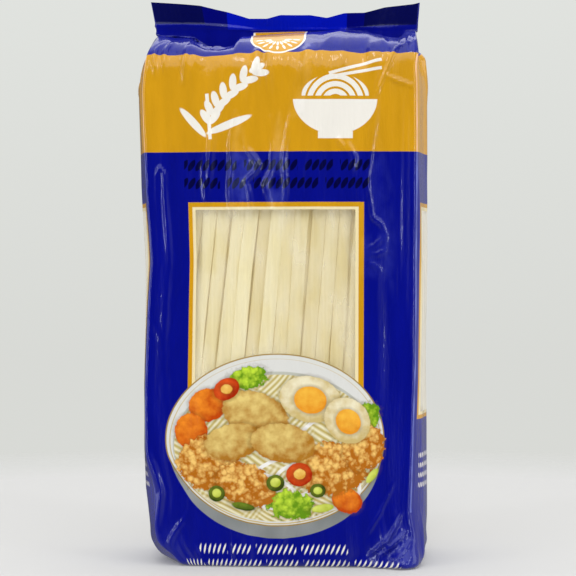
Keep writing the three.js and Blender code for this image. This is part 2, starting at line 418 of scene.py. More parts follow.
WIDE_STOPS = (-PANEL_REACH, CLEAR_LEFT, CLEAR_RIGHT, PANEL_REACH)
SIDE_STOPS = (-SIDE_REACH, -SIDE_CLEAR, SIDE_CLEAR, SIDE_REACH)
panel_columns = [
    film_columns(WIDE_STOPS, FRONT_STEP),
    film_columns(SIDE_STOPS, SIDE_STEP),
    film_columns(WIDE_STOPS, BACK_STEP),
    film_columns(SIDE_STOPS, SIDE_STEP),
]
panel_reaches = [PANEL_REACH, SIDE_REACH, PANEL_REACH, SIDE_REACH]
column_u = np.concatenate(panel_columns)
column_panel = np.concatenate([np.full(len(u), i) for i, u in enumerate(panel_columns)])
column_u_next = np.concatenate([np.append(u[1:], end) for u, end in zip(panel_columns, panel_reaches)])

# Rows of points follow the film from the middle of the base up to the edge of the fin.
BASE_ROWS, TURN_ROWS, SHOULDER_ROWS, NECK_ROWS, SEAL_ROWS = 9, 6, 40, 6, 12
base_in = np.linspace(0.02, 1.0, BASE_ROWS, endpoint=False)
base_turn = np.linspace(0.0, math.pi / 2, TURN_ROWS, endpoint=False)
BODY_STOPS = (BASE_ROUNDING, SIDE_CLEAR_FOOT, CLEAR_FOOT, CLEAR_TOP, SHOULDER_START)
body_rows = film_columns(BODY_STOPS, ROW_STEP)
shoulder_steps = np.sin(np.linspace(0, math.pi / 2, SHOULDER_ROWS, endpoint=False))
row_height = np.concatenate([
    between(BASE_HOLLOW, BASE_EDGE, base_in),
    between(BASE_EDGE, BASE_ROUNDING, 1 - np.cos(base_turn)),
    body_rows,
    between(SHOULDER_START, CREST_TOP, shoulder_steps),
    np.linspace(CREST_TOP, SEAL_START, NECK_ROWS, endpoint=False),
    np.linspace(SEAL_START, SEAL_TOP, SEAL_ROWS),
])[:, None]
row_depth = np.concatenate([
    base_in * (CREASE_HALF_DEPTH - BASE_ROUNDING),
    CREASE_HALF_DEPTH - BASE_ROUNDING * (1 - np.sin(base_turn)),
    np.full(len(body_rows) + SHOULDER_ROWS + NECK_ROWS + SEAL_ROWS, CREASE_HALF_DEPTH),
])[:, None]
row_number = np.arange(len(row_height))[:, None]
first_seal_row = len(row_height) - SEAL_ROWS

# 1 on the body, falling to 0 where the film has rolled over the crest of the shoulder.
shoulder_share = np.clip((row_height - SHOULDER_START) / (CREST_TOP - SHOULDER_START), 0.0, 1.0)
closing = (1.0 - shoulder_share**SHOULDER_POWER) ** SHOULDER_ROUNDNESS


def reach_of(outline):
    """How far an outline lies from the centre line for every row of points, its bends softened."""
    heights, reaches = zip(*outline)
    down = np.clip(1.0 - row_height / BASE_ROUNDING, 0.0, 1.0)
    softened = [np.interp(row_height + shift, heights, reaches) for shift in (-2, -1, 0, 1, 2)]
    return np.mean(softened, axis=0) - BASE_ROUNDING * (1.0 - np.sqrt(1.0 - down * down))


left_crease, right_crease = reach_of(LEFT_CREASE), reach_of(RIGHT_CREASE)
left_middle, right_middle = reach_of(LEFT_MIDDLE), reach_of(RIGHT_MIDDLE)


def wide_panel(u, turn):
    """The front (turn 1) or the back (turn -1), from its left crease to its right as it is looked at."""
    share = (u / PANEL_REACH)[None, :]
    reach = np.where(turn * share < 0, left_crease, right_crease)
    x = turn * share * (PANEL_REACH + (reach - PANEL_REACH) * share * share)
    if turn > 0:
        pinched = np.exp(-(((row_height - PINCH_HEIGHT) / PINCH_SPREAD) ** 2))
        x = x + PINCH * pinched * np.clip(-share, 0, 1) ** 4
    bulge = FRONT_BULGE * closing * between(0.7, 1.0, ease(row_height, 0, 30))
    y = -turn * (SEAL_HALF_THICKNESS + closing * row_depth + bulge * (1 - share * share))
    return np.stack([x, y, row_height + 0 * x], axis=2)


def narrow_panel(u, turn):
    """The right side (turn 1) or the left (turn -1), with the gusset tucked in under the fin."""
    share = (u / SIDE_REACH)[None, :]
    depth = SEAL_HALF_THICKNESS + row_depth * closing
    crease, middle = (left_crease, left_middle) if turn < 0 else (right_crease, right_middle)
    slack = math.sqrt(GUSSET_FOLD**2 - CREASE_HALF_DEPTH**2)
    fold_in = np.sqrt(np.clip(GUSSET_FOLD**2 - depth**2, 0, None)) - slack - 2
    fold_in = np.where(row_number < BASE_ROWS + TURN_ROWS, 0.0, np.clip(fold_in, 0, None))
    fold_in = np.where(row_number >= first_seal_row - 4, 0.0, fold_in)
    reach = crease + (middle - crease) * (1 - share * share) - fold_in * (1 - np.abs(share))
    y = turn * share * depth
    return np.stack([turn * reach, y, row_height + 0 * y], axis=2)


def bend_top(points):
    """Brings the shoulder to its crest and the fin to its wavy edge, and sways both in soft waves."""
    x, y, height = points[..., 0], points[..., 1], points[..., 2]
    crest = np.interp(x, CREST_X, CREST_Z)
    climb = np.clip((height - SHOULDER_START) / (CREST_TOP - SHOULDER_START), 0, 1)
    neck = np.clip((height - CREST_TOP) / (SEAL_START - CREST_TOP), 0, 1)
    up = np.clip((height - SEAL_START) / (SEAL_TOP - SEAL_START), 0, 1)
    lifted = np.minimum(height, CREST_TOP) - (CREST_TOP - crest) * climb**CREST_POWER
    lifted += neck * (SEAL_START - crest) + up * (np.interp(x, EDGE_X, EDGE_Z) - SEAL_START)
    ear = ease(np.abs(x) / SEAL_HALF_WIDTH, 0.3, 0.75)
    lean = SEAL_LEAN * (1 - 0.8 * ear) * up
    sway = SEAL_SWAY * np.sin(x / SWAY_LENGTH + 1) * ease(height, SHOULDER_START, SEAL_START)
    sway += SEAL_RIPPLE * np.sin(x / RIPPLE_LENGTH) * up
    flare = np.where(x < 0, EAR_FLARE_LEFT, EAR_FLARE_RIGHT) * ear * up
    return np.stack([x + flare, y + lean + sway, lifted], axis=-1)


def film_noise(seed, tall, wide):
    """Smooth random heights over the film, with features of about this many rows and columns."""
    shape = (len(row_height), len(column_u))
    white = np.random.default_rng(seed).standard_normal(shape)
    row_rate = np.fft.fftfreq(shape[0])[:, None] * tall
    column_rate = np.fft.fftfreq(shape[1])[None, :] * wide
    filtered = np.fft.fft2(white) * np.exp(-math.pi**2 / 2 * (row_rate**2 + column_rate**2))
    smooth = np.fft.ifft2(filtered).real
    return smooth / smooth.std()


def path_distance(u, v, path):
    """Distance to a path over the film, and how far along the path the nearest point is."""
    nearest = np.full(np.broadcast(u, v).shape, np.inf)
    along = np.zeros(nearest.shape)
    for i, ((u0, v0), (u1, v1)) in enumerate(zip(path, path[1:])):
        span = (u1 - u0) ** 2 + (v1 - v0) ** 2
        share = np.clip(((u - u0) * (u1 - u0) + (v - v0) * (v1 - v0)) / span, 0, 1)
        distance = np.hypot(u - between(u0, u1, share), v - between(v0, v1, share))
        along = np.where(distance < nearest, (i + share) / (len(path) - 1), along)
        nearest = np.minimum(nearest, distance)
    return nearest, along


def fold(u, v, path, width, height):
    """A soft ridge along a path, fading at its ends."""
    distance, along = path_distance(u, v, path)
    return height * np.exp(-((distance / width) ** 2)) * np.sin(math.pi * np.clip(along, 0.02, 0.98)) ** 0.5


def blister(u, v, outline, height, edge=0.9):
    """A low flat bubble with a crisp rim, where the film has let go of the noodles."""
    closed = list(outline) + [outline[0]]
    distance, _ = path_distance(u, v, closed)
    inside = np.zeros(distance.shape, bool)
    for (u0, v0), (u1, v1) in zip(closed, closed[1:]):
        if v0 != v1:
            crossing = u0 + (v - v0) * (u1 - u0) / (v1 - v0)
            inside ^= ((v0 > v) != (v1 > v)) & (u < crossing)
    return height * ease(np.where(inside, distance, -distance), -edge / 2, edge / 2)


# The folds in the front of the film: each one's path across and up the panel, its width and its height.
FRONT_FOLDS = [
    ([(-50.4, 122), (-49.8, 157), (-48.7, 160.6), (-46.8, 158), (-46, 122)], 0.6, 0.45),
    ([(-46.5, 150), (-45.6, 122), (-47, 92)], 1.3, 0.35),
    ([(-27.6, 180), (-28.6, 166), (-30.6, 146)], 1.3, 0.7),
    ([(-31.5, 166), (-32, 156), (-31, 147)], 0.8, 0.35),
    ([(26, 170), (28.6, 164), (27.4, 158)], 1.2, 0.6),
    ([(21.5, 172), (25, 167)], 0.8, 0.5),
    ([(38, 184), (35.4, 166), (33.8, 155), (35, 146), (36, 140), (39.8, 137.5), (41.6, 133),
      (41, 124)], 0.8, 0.6),
    ([(48, 190), (47.6, 160), (47, 126), (48, 96)], 0.7, 0.3),
    ([(50.4, 186), (50.2, 150), (50.6, 110)], 0.6, 0.2),
    ([(53, 214), (45.5, 210), (42.4, 201), (38, 190)], 0.65, 0.8),
    ([(41, 197), (46, 195), (53, 192.6)], 0.65, 0.5),
    ([(47.6, 222), (47, 215), (46.6, 209)], 0.6, 0.6),
    ([(50.4, 223), (50, 215), (49.4, 208)], 0.6, 0.7),
    ([(52.6, 221), (52.4, 214), (51.6, 207)], 0.6, 0.5),
    ([(-38, 221.5), (-33, 219.5), (-27, 217.5), (-20, 217)], 0.8, 0.7),
    ([(32, 126.5), (37, 129), (41.5, 133)], 1.1, 0.3),
    ([(32, 125), (38, 125.5), (43, 127.5)], 1.1, 0.35),
    ([(32, 123), (37, 121), (41, 118)], 1.1, 0.3),
    ([(-38.8, 214), (-38.4, 206), (-39, 194)], 0.6, 0.9),
    ([(-46.5, 216), (-47, 208), (-46, 198)], 0.8, 0.9),
    ([(-50, 214), (-50.5, 206), (-49, 196)], 0.7, 0.7),
    ([(11, 214), (9.6, 206), (7, 192)], 2.2, 0.8),
    ([(36, 214), (35, 208), (34.6, 203)], 1.8, 0.6),
    ([(-20.6, 141), (-21.4, 150), (-20.6, 160), (-21, 170), (-19, 182)], 1.0, 0.7),
    ([(-12, 140), (-13.2, 150), (-14.8, 155), (-11.2, 158), (-9.6, 161), (-11.8, 164.6),
      (-14.6, 168), (-15, 178)], 1.0, 0.75),
    ([(-4.6, 140), (-6, 149), (-7.4, 153.6), (-4.8, 159), (-4.2, 168), (-5, 180)], 1.0, 0.7),
    ([(0.4, 140), (1.4, 152), (0.4, 162), (1.2, 170), (2.6, 180)], 1.1, 0.7),
    ([(-52, 44), (-51, 30), (-52.5, 14)], 1.4, 1.0),
    ([(46, 34), (40, 22), (33, 12)], 0.7, 0.4),
    ([(50, 22), (43, 12), (34, 5)], 0.6, 0.85),
    ([(51, 15), (45, 10), (38, 5)], 0.55, 0.8),
    ([(52, 11), (47, 6), (41, 3)], 0.55, 0.8),
    ([(48, 12), (46, 7), (47, 3)], 0.5, 0.5),
    ([(43, 12), (41, 8), (42, 3)], 0.5, 0.45),
    ([(36, 8), (39, 5.5), (38, 2)], 0.5, 0.45),
    ([(-40, 20), (-46, 12), (-50, 6)], 1.3, 0.6),
    ([(24, 60), (42, 52)], 1.2, 0.25),
]

# Where it stands off the noodles: the outline of each such patch, and how far.
FRONT_BLISTERS = [
    ([(-16, 138), (-21, 145), (-21.6, 158), (-20.4, 170), (-17.6, 181), (-15.4, 171), (-14.4, 167),
      (-11.6, 164.4), (-9.6, 160.8), (-10.8, 158), (-14.8, 156), (-13.2, 151), (-12, 145)], 0.15),
    ([(-3, 138), (-6, 146), (-6, 151), (-7.6, 153.6), (-4.6, 159), (-4.2, 168), (-1.4, 182),
      (0.6, 168), (1.4, 153), (0.4, 146)], 0.15),
    ([(39, 172), (34.4, 155), (36, 140), (41.6, 134), (41, 122), (45, 106), (46, 130), (44, 152)], 0.04),
    ([(9, 212), (7, 196), (4, 180), (8, 182), (11, 196), (13, 210)], 0.1),
    ([(31, 132), (42, 135), (44, 127), (41, 115), (31, 117)], 0.05),
]

# Heights on the print between which one kind of relief gives way to another.
BASE_ENDS, SHOULDERS_BEGIN, SHOULDERS_END = (3, 24), (194, 206), (222, 232)
CREASES_BEGIN, CREASES_END = (14, 30), (192, 204)
LOOSE_BASE_ENDS, LOOSE_SHOULDERS_BEGIN = (4, 22), (200, 214)
DISC_BEGINS = (206, 211)

DEEPEST_DENT = 0.7
END_FOLDS, FINE_FOLDS = 64, 36  # how many at the shoulders and the base, and up the front and back
SHARE_AT_SHOULDERS = 0.6  # of the first kind
CREASE_HEIGHT, CREASE_WIDTH = 0.45, 0.8
FOLD_STRENGTH, BLISTER_STRENGTH = 1.5, 1.4
LOOSE_CORNER, CORNER_SPREAD = 46.0, 9.0  # the front's right corner at the base, and its size
CORNER_CRUMPLE, CORNER_DROOP = 0.8, 6.0  # how rough it is, and how far it sags forward
CORNER_HEIGHT = 10.0
DISC_REACH, DISC_FLATNESS = 14.0, 0.9  # the film is nearly smooth round the disc on the shoulder
FIN_RELIEF = 0.25  # share of the relief that is left on the fin
WELD_LOW, WELD_HIGH, WELD_WIDTH = 0.15, 0.4, 0.5  # the ridge of the weld, higher at the left
SLACK, CORNER_SLACK = 0.05, 0.25  # of the shoulders, and what corners have besides


def creased_noise(seed, tall, wide):
    """Noise over the film with crests like creases and smooth hollows between them."""
    return 1.0 - np.abs(film_noise(seed, tall, wide))


def soft_relief(v):
    """The long soft folds all over the film, and the crumples of its shoulders and base."""
    relief = 0.30 * creased_noise(3, tall=62, wide=8)
    relief += 0.42 * film_noise(4, tall=76, wide=30)
    relief += 0.14 * film_noise(6, tall=26, wide=5)
    shoulders = ease(v, *SHOULDERS_BEGIN) * (1 - ease(v, *SHOULDERS_END))
    base = 1 - ease(v, *BASE_ENDS)
    relief += (0.4 * shoulders + 0.6 * base) * creased_noise(5, tall=15, wide=9)
    return np.maximum(relief, -DEEPEST_DENT)


def scattered_folds():
    """Folds that drift up a panel at random: its panel, path, width and height, for each."""
    random = np.random.default_rng(11)
    for _ in range(END_FOLDS):
        chosen = random.integers(0, PANELS)
        start = random.uniform(-0.95, 0.95) * panel_reaches[chosen]
        drift = random.normal(0, 3.0)
        if random.uniform() < SHARE_AT_SHOULDERS:
            foot, top = random.uniform(186, 203), random.uniform(208, 224)
        else:
            foot, top = random.uniform(1, 4), random.uniform(9, 26)
        path = [(start, foot), (start + drift * 0.6, (foot + top) / 2), (start + drift, top)]
        yield chosen, path, random.uniform(0.8, 2.0), random.uniform(0.25, 0.85)
    for _ in range(FINE_FOLDS):
        chosen = random.choice([FRONT, BACK])
        start, foot = random.uniform(-50, 50), random.uniform(90, 185)
        length, drift = random.uniform(10, 34), random.normal(0, 4)
        path = [(start, foot), (start + drift * 0.3, foot + length / 2), (start + drift, foot + length)]
        yield chosen, path, random.uniform(0.7, 1.2), random.uniform(0.1, 0.3)


def film_relief(u, v, panel):
    """How far each point of the film stands out: long soft folds, crumples and creases."""
    relief = soft_relief(v)
    for chosen, path, width, height in scattered_folds():
        relief += np.where(panel == chosen, fold(u, v, path, width, height), 0.0)
    from_crease = np.where(panel % 2 == 1, SIDE_REACH, PANEL_REACH) - np.abs(u)
    along_crease = ease(v, *CREASES_BEGIN) * (1 - ease(v, *CREASES_END))
    relief += CREASE_HEIGHT * np.exp(-((from_crease / CREASE_WIDTH) ** 2)) * along_crease
    on_front = panel == FRONT
    aside, above = (u - LOOSE_CORNER) / CORNER_SPREAD, (v - CORNER_HEIGHT) / CORNER_HEIGHT
    corner = np.exp(-(aside**2) - above**2)
    crumpled = CORNER_CRUMPLE * corner * creased_noise(12, tall=7, wide=6)
    relief += np.where(on_front, crumpled, 0.0)
    for path, width, height in FRONT_FOLDS:
        relief += np.where(on_front, fold(u, v, path, width, FOLD_STRENGTH * height), 0.0)
    for outline, height in FRONT_BLISTERS:
        relief += np.where(on_front, blister(u, v, outline, BLISTER_STRENGTH * height), 0.0)
    on_disc = np.exp(-(((u - PRINT_MIDDLE) / DISC_REACH) ** 4)) * ease(v, *DISC_BEGINS) * on_front
    return relief * (1 - DISC_FLATNESS * on_disc)


def film_slack(u, v, panel):
    """1 where the film is loose and crinkled, 0 where the noodles hold it taut."""
    corner = ease(np.abs(u) / PANEL_REACH, 0.6, 0.95)
    slack = (SLACK + CORNER_SLACK * corner) * ease(v, *LOOSE_SHOULDERS_BEGIN)
    slack = slack + CORNER_SLACK * (1 - ease(v, *LOOSE_BASE_ENDS)) * corner
    for outline, height in FRONT_BLISTERS:
        looseness = min(1.0, 4.5 * height)
        slack = slack + np.where(panel == FRONT, blister(u, v, outline, looseness, 3.0), 0.0)
    return np.clip(slack, 0, 1) * (1 - ease(v, FIN_FOOT - 3, FIN_FOOT))


def outward(grid):
    """The direction that the film faces at every point of the grid."""
    along = np.roll(grid, -1, axis=1) - np.roll(grid, 1, axis=1)
    normal = np.cross(along, np.gradient(grid, axis=0))
    return normal / np.maximum(np.linalg.norm(normal, axis=2, keepdims=True), 1e-9)


def soften_creases(grid):
    """Rounds the film over its corner creases by averaging the columns next to them."""
    for first in (0, *np.cumsum([len(u) for u in panel_columns])[:-1]):
        near = (np.arange(first - 1, first + 2)) % grid.shape[1]
        for _ in range(2):
            average = (np.roll(grid, 1, axis=1) + 2 * grid + np.roll(grid, -1, axis=1)) / 4
            grid[:first_seal_row, near] = average[:first_seal_row, near]
    return grid


def film_grid():
    """Every point of the bag, and the height on the print of every row."""
    front, right, back, left = panel_columns
    grid = bend_top(np.concatenate([
        wide_panel(front, 1), narrow_panel(right, 1), wide_panel(back, -1), narrow_panel(left, -1),
    ], axis=1))
    middle = grid[:, np.argmin(np.abs(front))]
    steps = np.linalg.norm(np.diff(middle, axis=0), axis=1)
    up = np.concatenate([[0.0], np.cumsum(steps)])
    up += CLEAR_TOP - np.interp(CLEAR_TOP, row_height[BASE_ROWS:, 0], up[BASE_ROWS:])
    grid = soften_creases(grid)
    relief = film_relief(column_u[None, :], up[:, None], column_panel[None, :])
    on_fin = ease(row_height, SEAL_START - 2, SEAL_START + 1)
    relief *= ease(row_height, 0.2, 5) * between(1.0, FIN_RELIEF, on_fin)
    weld = grid[..., 2] - np.interp(grid[..., 0], SEAM_X, SEAM_Z)
    weld_height = between(WELD_LOW, WELD_HIGH, ease(-grid[..., 0], 8, 20))
    relief += weld_height * np.exp(-((weld / WELD_WIDTH) ** 2)) * (row_number >= first_seal_row)
    grid = grid + outward(grid) * relief[..., None]
    aside = (grid[..., 0] - LOOSE_CORNER) / CORNER_SPREAD
    above = np.maximum(grid[..., 2] - 1, 0) / CORNER_SPREAD
    droop = CORNER_DROOP * np.exp(-(aside**2) - above**2) * (1 + 0.3 * film_noise(9, 6, 6))
    grid[..., 1] -= np.where(grid[..., 1] < -10, droop, 0.0)
    grid[..., 2] = np.maximum(grid[..., 2], 0.05)
    return grid, up


def face_corners(values_left, values_right, low, high):
    """Pairs of place values for the four corners of every face, in the order its points run."""
    across = np.stack([values_left, values_right, values_right, values_left], axis=1)
    upward = np.stack([low, low, high, high], axis=1)
    shape = (len(low), len(values_left), 4)
    return np.stack([
        np.broadcast_to(across[None], shape), np.broadcast_to(upward[:, None], shape),
    ], axis=3)


film_points, film_up = film_grid()
film_normals = outward(film_points)
FIN_FOOT, FIN_TOP = float(film_up[first_seal_row]), float(film_up[-1])
film_looseness = film_slack(column_u[None, :], film_up[:, None], column_panel[None, :])
film_corners_uv = face_corners(column_u, column_u_next, film_up[:-1], film_up[1:])
face_u = (column_u + column_u_next)[None, :] / 2
face_v = (film_up[:-1] + film_up[1:])[:, None] / 2
face_panel = np.broadcast_to(column_panel[None, :], (len(film_up) - 1, len(column_u)))
on_side = face_panel % 2 == 1
window = np.where(
    on_side,
    (np.abs(face_u) < SIDE_CLEAR) & (face_v > SIDE_CLEAR_FOOT) & (face_v < CLEAR_TOP),
    (face_u > CLEAR_LEFT) & (face_u < CLEAR_RIGHT) & (face_v > CLEAR_FOOT) & (face_v < CLEAR_TOP),
)


def zip_closed(lower, upper):
    """Triangles between two runs of points that start and end side by side."""
    faces, i, j = [], 0, 0
    while i + 1 < len(lower) or j + 1 < len(upper):
        lower_is_behind = (i + 1) / len(lower) <= (j + 1) / len(upper)
        if j + 1 == len(upper) or (i + 1 < len(lower) and lower_is_behind):
            faces.append((lower[i], lower[i + 1], upper[j]))
            i += 1
        else:
            faces.append((lower[i], upper[j + 1], upper[j]))
            j += 1
    return faces


def closing_faces():
    """Triangles across one ring of the film: between its front and back, and a fan on each side."""
    starts = np.concatenate([[0], np.cumsum([len(u) for u in panel_columns])])
    columns = starts[-1]
    front = list(range(starts[1] + 1))
    right = list(range(starts[1], starts[2] + 1))
    back = list(range(starts[2], starts[3] + 1))[::-1]
    left = [i % columns for i in range(starts[3], columns + 1)]
    faces = zip_closed(front, back)
    for fan in (right, left):
        faces += [(fan[0], fan[i], fan[i + 1]) for i in range(1, len(fan) - 1)]
    return faces


def film_piece(name, chosen, kinds, materials, closed_kinds=None):
    """A mesh of the chosen faces of the film, with its print map and its faces' materials."""
    rows, columns = film_points.shape[:2]
    row, column = np.nonzero(chosen)
    after = (column + 1) % columns
    faces = np.stack([
        row * columns + column, row * columns + after,
        (row + 1) * columns + after, (row + 1) * columns + column,
    ], axis=1).tolist()
    corners = [film_corners_uv[row, column].reshape(-1, 2)]
    face_kinds = [kinds[row, column].astype(int)]
    if closed_kinds:
        for end_row, kind, order in ((0, closed_kinds[0], -1), (rows - 1, closed_kinds[1], 1)):
            extra = [face[::order] for face in closing_faces()]
            faces += [[end_row * columns + i for i in face] for face in extra]
            corners.append(np.array([(column_u[i], film_up[end_row]) for face in extra for i in face]))
            face_kinds.append(np.full(len(extra), kind))
    used, index = np.unique(np.array([i for face in faces for i in face]), return_inverse=True)
    ends = np.cumsum([len(face) for face in faces])[:-1]
    packed_faces = [part.tolist() for part in np.split(index, ends)]
    mesh = bpy.data.meshes.new(name)
    mesh.from_pydata((film_points.reshape(-1, 3)[used] * MM).tolist(), [], packed_faces)
    mesh.polygons.foreach_set("use_smooth", np.ones(len(packed_faces), bool))
    mesh.polygons.foreach_set("material_index", np.concatenate(face_kinds).astype(np.int32))
    slack = mesh.attributes.new("slack", "FLOAT", "POINT")
    slack.data.foreach_set("value", film_looseness.reshape(-1)[used])
    layer = mesh.uv_layers.new(name="print")
    layer.data.foreach_set("uv", (np.concatenate(corners) * MM).ravel())
    for material in materials:
        mesh.materials.append(material)
    mesh.update()
    mesh.normals_split_custom_set_from_vertices(film_normals.reshape(-1, 3)[used].tolist())
    piece = bpy.data.objects.new(name, mesh)
    scene.collection.objects.link(piece)
    return piece


# The print on the film.
# Deep blue ink covers it, with an orange-yellow band below the shoulders. The band carries a rice ear
# and a bowl in white on the front and back, and a full bowl of noodles is printed under their windows.

BLUE = (0.0022, 0.0045, 0.225, 1)
# The fin's inks hold painted light and shade: its middle brighter, as if lit through, its ends darker.
FIN_PAINTED_BACKLIGHT_BLUE = (0.001, 0.007, 0.45, 1)
FIN_PAINTED_SHADE, FIN_DEEPEST_PAINTED_SHADE = (0.001, 0.002, 0.16, 1), (0.002, 0.003, 0.07, 1)  # painted shade over the folded sides, where less light comes through the fin
ORANGE = (0.60, 0.298, 0.009, 1)
WHITE = (0.84, 0.81, 0.74, 1)
NAVY = (0.0012, 0.0015, 0.045, 1)
CREAM_LINE = (0.84, 0.72, 0.42, 1)
# The cut edge along the top of the fin is painted pale, as a highlight.
CUT_EDGE_HIGHLIGHT_BLUE = (0.5, 0.52, 0.75, 1)
# How the ink is painted paler, as a painted sheen, where the film is slack.
PAINTED_SHEEN_GAIN, PAINTED_SHEEN_LIFT, PALEST_PAINTED_SHEEN = (1.25, 1.3, 1.4), (0.04, 0.05, 0.06), (0.9, 0.88, 0.84)
# A painted highlight down the creases of the sides: the ink made paler and bluer.
CREASE_HIGHLIGHT_GAIN, CREASE_HIGHLIGHT_LIFT = (1.3, 1.3, 1.0), (0.11, 0.14, 0.30)
FILM_ROUGHNESS, FILM_IOR, CLEAR_IOR = 0.085, 1.45, 1.5
FILM_SHEEN = (0.80, 0.87, 1.0, 1)
CLEAR_TINT, MILK = (0.97, 0.965, 0.95, 1), (0.94, 0.89, 0.75, 1)
MOST_GLOSS = 0.4
CRINKLE_STRENGTH, CRINKLE_DEPTH = 0.7, 0.25
EDGE_SHARPNESS = 5.0  # per millimetre, at the edge of an inked shape

# Left, right, foot and top of what is printed as a bar.
BAND = (-90, 90, 166.6, 206.6)
FRAME, FRAME_LINE = (-37.8, 32.6, 60, 146.4), (-36.2, 30.4, 60, 144.5)
SIDE_FRAME, SIDE_FRAME_LINE = (-23.1, 23.1, 59.2, 146.4), (-21.4, 21.4, 60.8, 144.8)
# Bars on a side's print where the crease highlight is painted.
PAINTED_CREASE_HIGHLIGHTS = [(-30, -25.6, 22, 206), (25.6, 30, 22, 206)]
FULL_WIDTH = 60  # to beyond the ends of the fin
FIN_BARS = [  # ink, left, right, and how far up the fin it begins
    (FIN_DEEPEST_PAINTED_SHADE, -FULL_WIDTH, -33.2, 0.26), (FIN_PAINTED_SHADE, -33.2, -24.2, 0.18),
    (FIN_PAINTED_BACKLIGHT_BLUE, -24.2, 25.1, 0.05), (FIN_PAINTED_SHADE, 25.1, 32, 0.12), (FIN_DEEPEST_PAINTED_SHADE, 32, FULL_WIDTH, 0.18),
]
DISC_HEIGHT, DISC_RINGS = 217.2, [(11.2, WHITE), (10.4, ORANGE)]


def new_group(name, inputs, outputs):
    """A shader group with these sockets, and its input node's sockets by name."""
    group = bpy.data.node_groups.new(name, "ShaderNodeTree")
    for socket, kind in inputs.items():
        group.interface.new_socket(socket, in_out="INPUT", socket_type="NodeSocket" + kind)
    for socket, kind in outputs.items():
        group.interface.new_socket(socket, in_out="OUTPUT", socket_type="NodeSocket" + kind)
    given = group.nodes.new("NodeGroupInput")
    made = group.nodes.new("NodeGroupOutput")
    return group, given.outputs, made.inputs


def place_group(tree, group, **values):
    """Puts a shader group in a tree, with these values for its sockets."""
    inputs = {name.replace("_", " "): value for name, value in values.items()}
    return add_node(tree, "ShaderNodeGroup", node_tree=group, inputs=inputs).outputs


def own_place(tree, given):
    """The place measured from a shape's centre, in shares of its half size."""
    return add_node(tree, "ShaderNodeMapping", {
        "Vector": given["Place"],
        "Location": given["Centre"],
        "Rotation": given["Turn"],
        "Scale": given["Half size"],
    }, vector_type="TEXTURE").outputs[0]


SHAPE_INPUTS = {"Place": "Vector", "Centre": "Vector", "Half size": "Vector", "Turn": "Vector"}


def smaller_half(tree, given):
    """Half of a shape's width or height, whichever is less."""
    size = add_node(tree, "ShaderNodeSeparateXYZ", {0: given["Half size"]})
    return maths(tree, "MINIMUM", size.outputs[0], size.outputs[1])


def oval_group():
    """1 inside an ellipse, with a crisp inked edge."""
    group, given, made = new_group("inked oval", SHAPE_INPUTS, {"Mask": "Float"})
    reach = vector_maths(group, "LENGTH", own_place(group, given), output="Value")
    inward = maths(group, "MULTIPLY", maths(group, "SUBTRACT", 1.0, reach), smaller_half(group, given))
    group.links.new(maths(group, "MULTIPLY_ADD", inward, EDGE_SHARPNESS, 0.5, clamp=True), made["Mask"])
    return group


def bar_group():
    """1 inside a rectangle, with a crisp inked edge."""
    group, given, made = new_group("inked bar", SHAPE_INPUTS, {"Mask": "Float"})
    reach = vector_maths(group, "ABSOLUTE", own_place(group, given))
    spare = vector_maths(group, "SUBTRACT", (1, 1, 1), reach)
    inward = vector_maths(group, "MULTIPLY", spare, given["Half size"])
    parts = add_node(group, "ShaderNodeSeparateXYZ", {0: inward})
    nearest = maths(group, "MINIMUM", parts.outputs[0], parts.outputs[1])
    group.links.new(maths(group, "MULTIPLY_ADD", nearest, EDGE_SHARPNESS, 0.5, clamp=True), made["Mask"])
    return group


FOOD_SHADOW = (0.10, 0.055, 0.012, 1)


def garnish_group():
    """Lays a mottled, rounded piece of food over the colour under it, with a soft shadow."""
    colours = dict.fromkeys(("Under", "Light", "Dark"), "Color")
    inputs = {**SHAPE_INPUTS, **colours, "Ragged": "Float", "Crumbs": "Float"}
    group, given, made = new_group("printed garnish", inputs, {"Color": "Color"})
    own = own_place(group, given)
    ragged_noise = noise(group, given["Place"], 0.55, 3.0, "Color")
    wobble = vector_maths(group, "SUBTRACT", ragged_noise, (0.5, 0.5, 0.5))
    shaken = vector_maths(group, "MULTIPLY_ADD", wobble, given["Ragged"], own)
    reach = vector_maths(group, "LENGTH", shaken, output="Value")
    inward = maths(group, "MULTIPLY", maths(group, "SUBTRACT", 1.0, reach), smaller_half(group, given))
    mask = maths(group, "MULTIPLY_ADD", inward, 3.5, 0.5, clamp=True)
    shadow = maths(group, "MULTIPLY_ADD", inward, 0.45, 0.62, clamp=True)
    shaded = lay_ink(group, given["Under"], FOOD_SHADOW, maths(group, "MULTIPLY", shadow, 0.55))
    lit = vector_maths(group, "DOT_PRODUCT", own, (-0.22, 0.32, 0.0), output="Value")
    uneven = vector_maths(group, "ADD", given["Place"], wobble)
    crumb = add_node(group, "ShaderNodeTexVoronoi", {"Scale": 0.42, "Detail": 1.0, "Vector": uneven})
    nearness = maths(group, "SUBTRACT", 0.70, crumb.outputs["Distance"])
    crumbs = maths(group, "MULTIPLY", nearness, given["Crumbs"])
    mottle = maths(group, "MULTIPLY_ADD", noise(group, given["Place"], 0.26, 4.0), 1.7, -0.28)
    tone = maths(group, "MULTIPLY_ADD", crumbs, 1.5, maths(group, "ADD", lit, mottle))
    rim = maths(group, "POWER", maths(group, "MINIMUM", reach, 1.2), 5.0)
    tone = maths(group, "MULTIPLY_ADD", rim, -0.45, tone, clamp=True)
    food = lay_ink(group, given["Dark"], given["Light"], tone)
    group.links.new(lay_ink(group, shaded, food, mask), made["Color"])
    return group


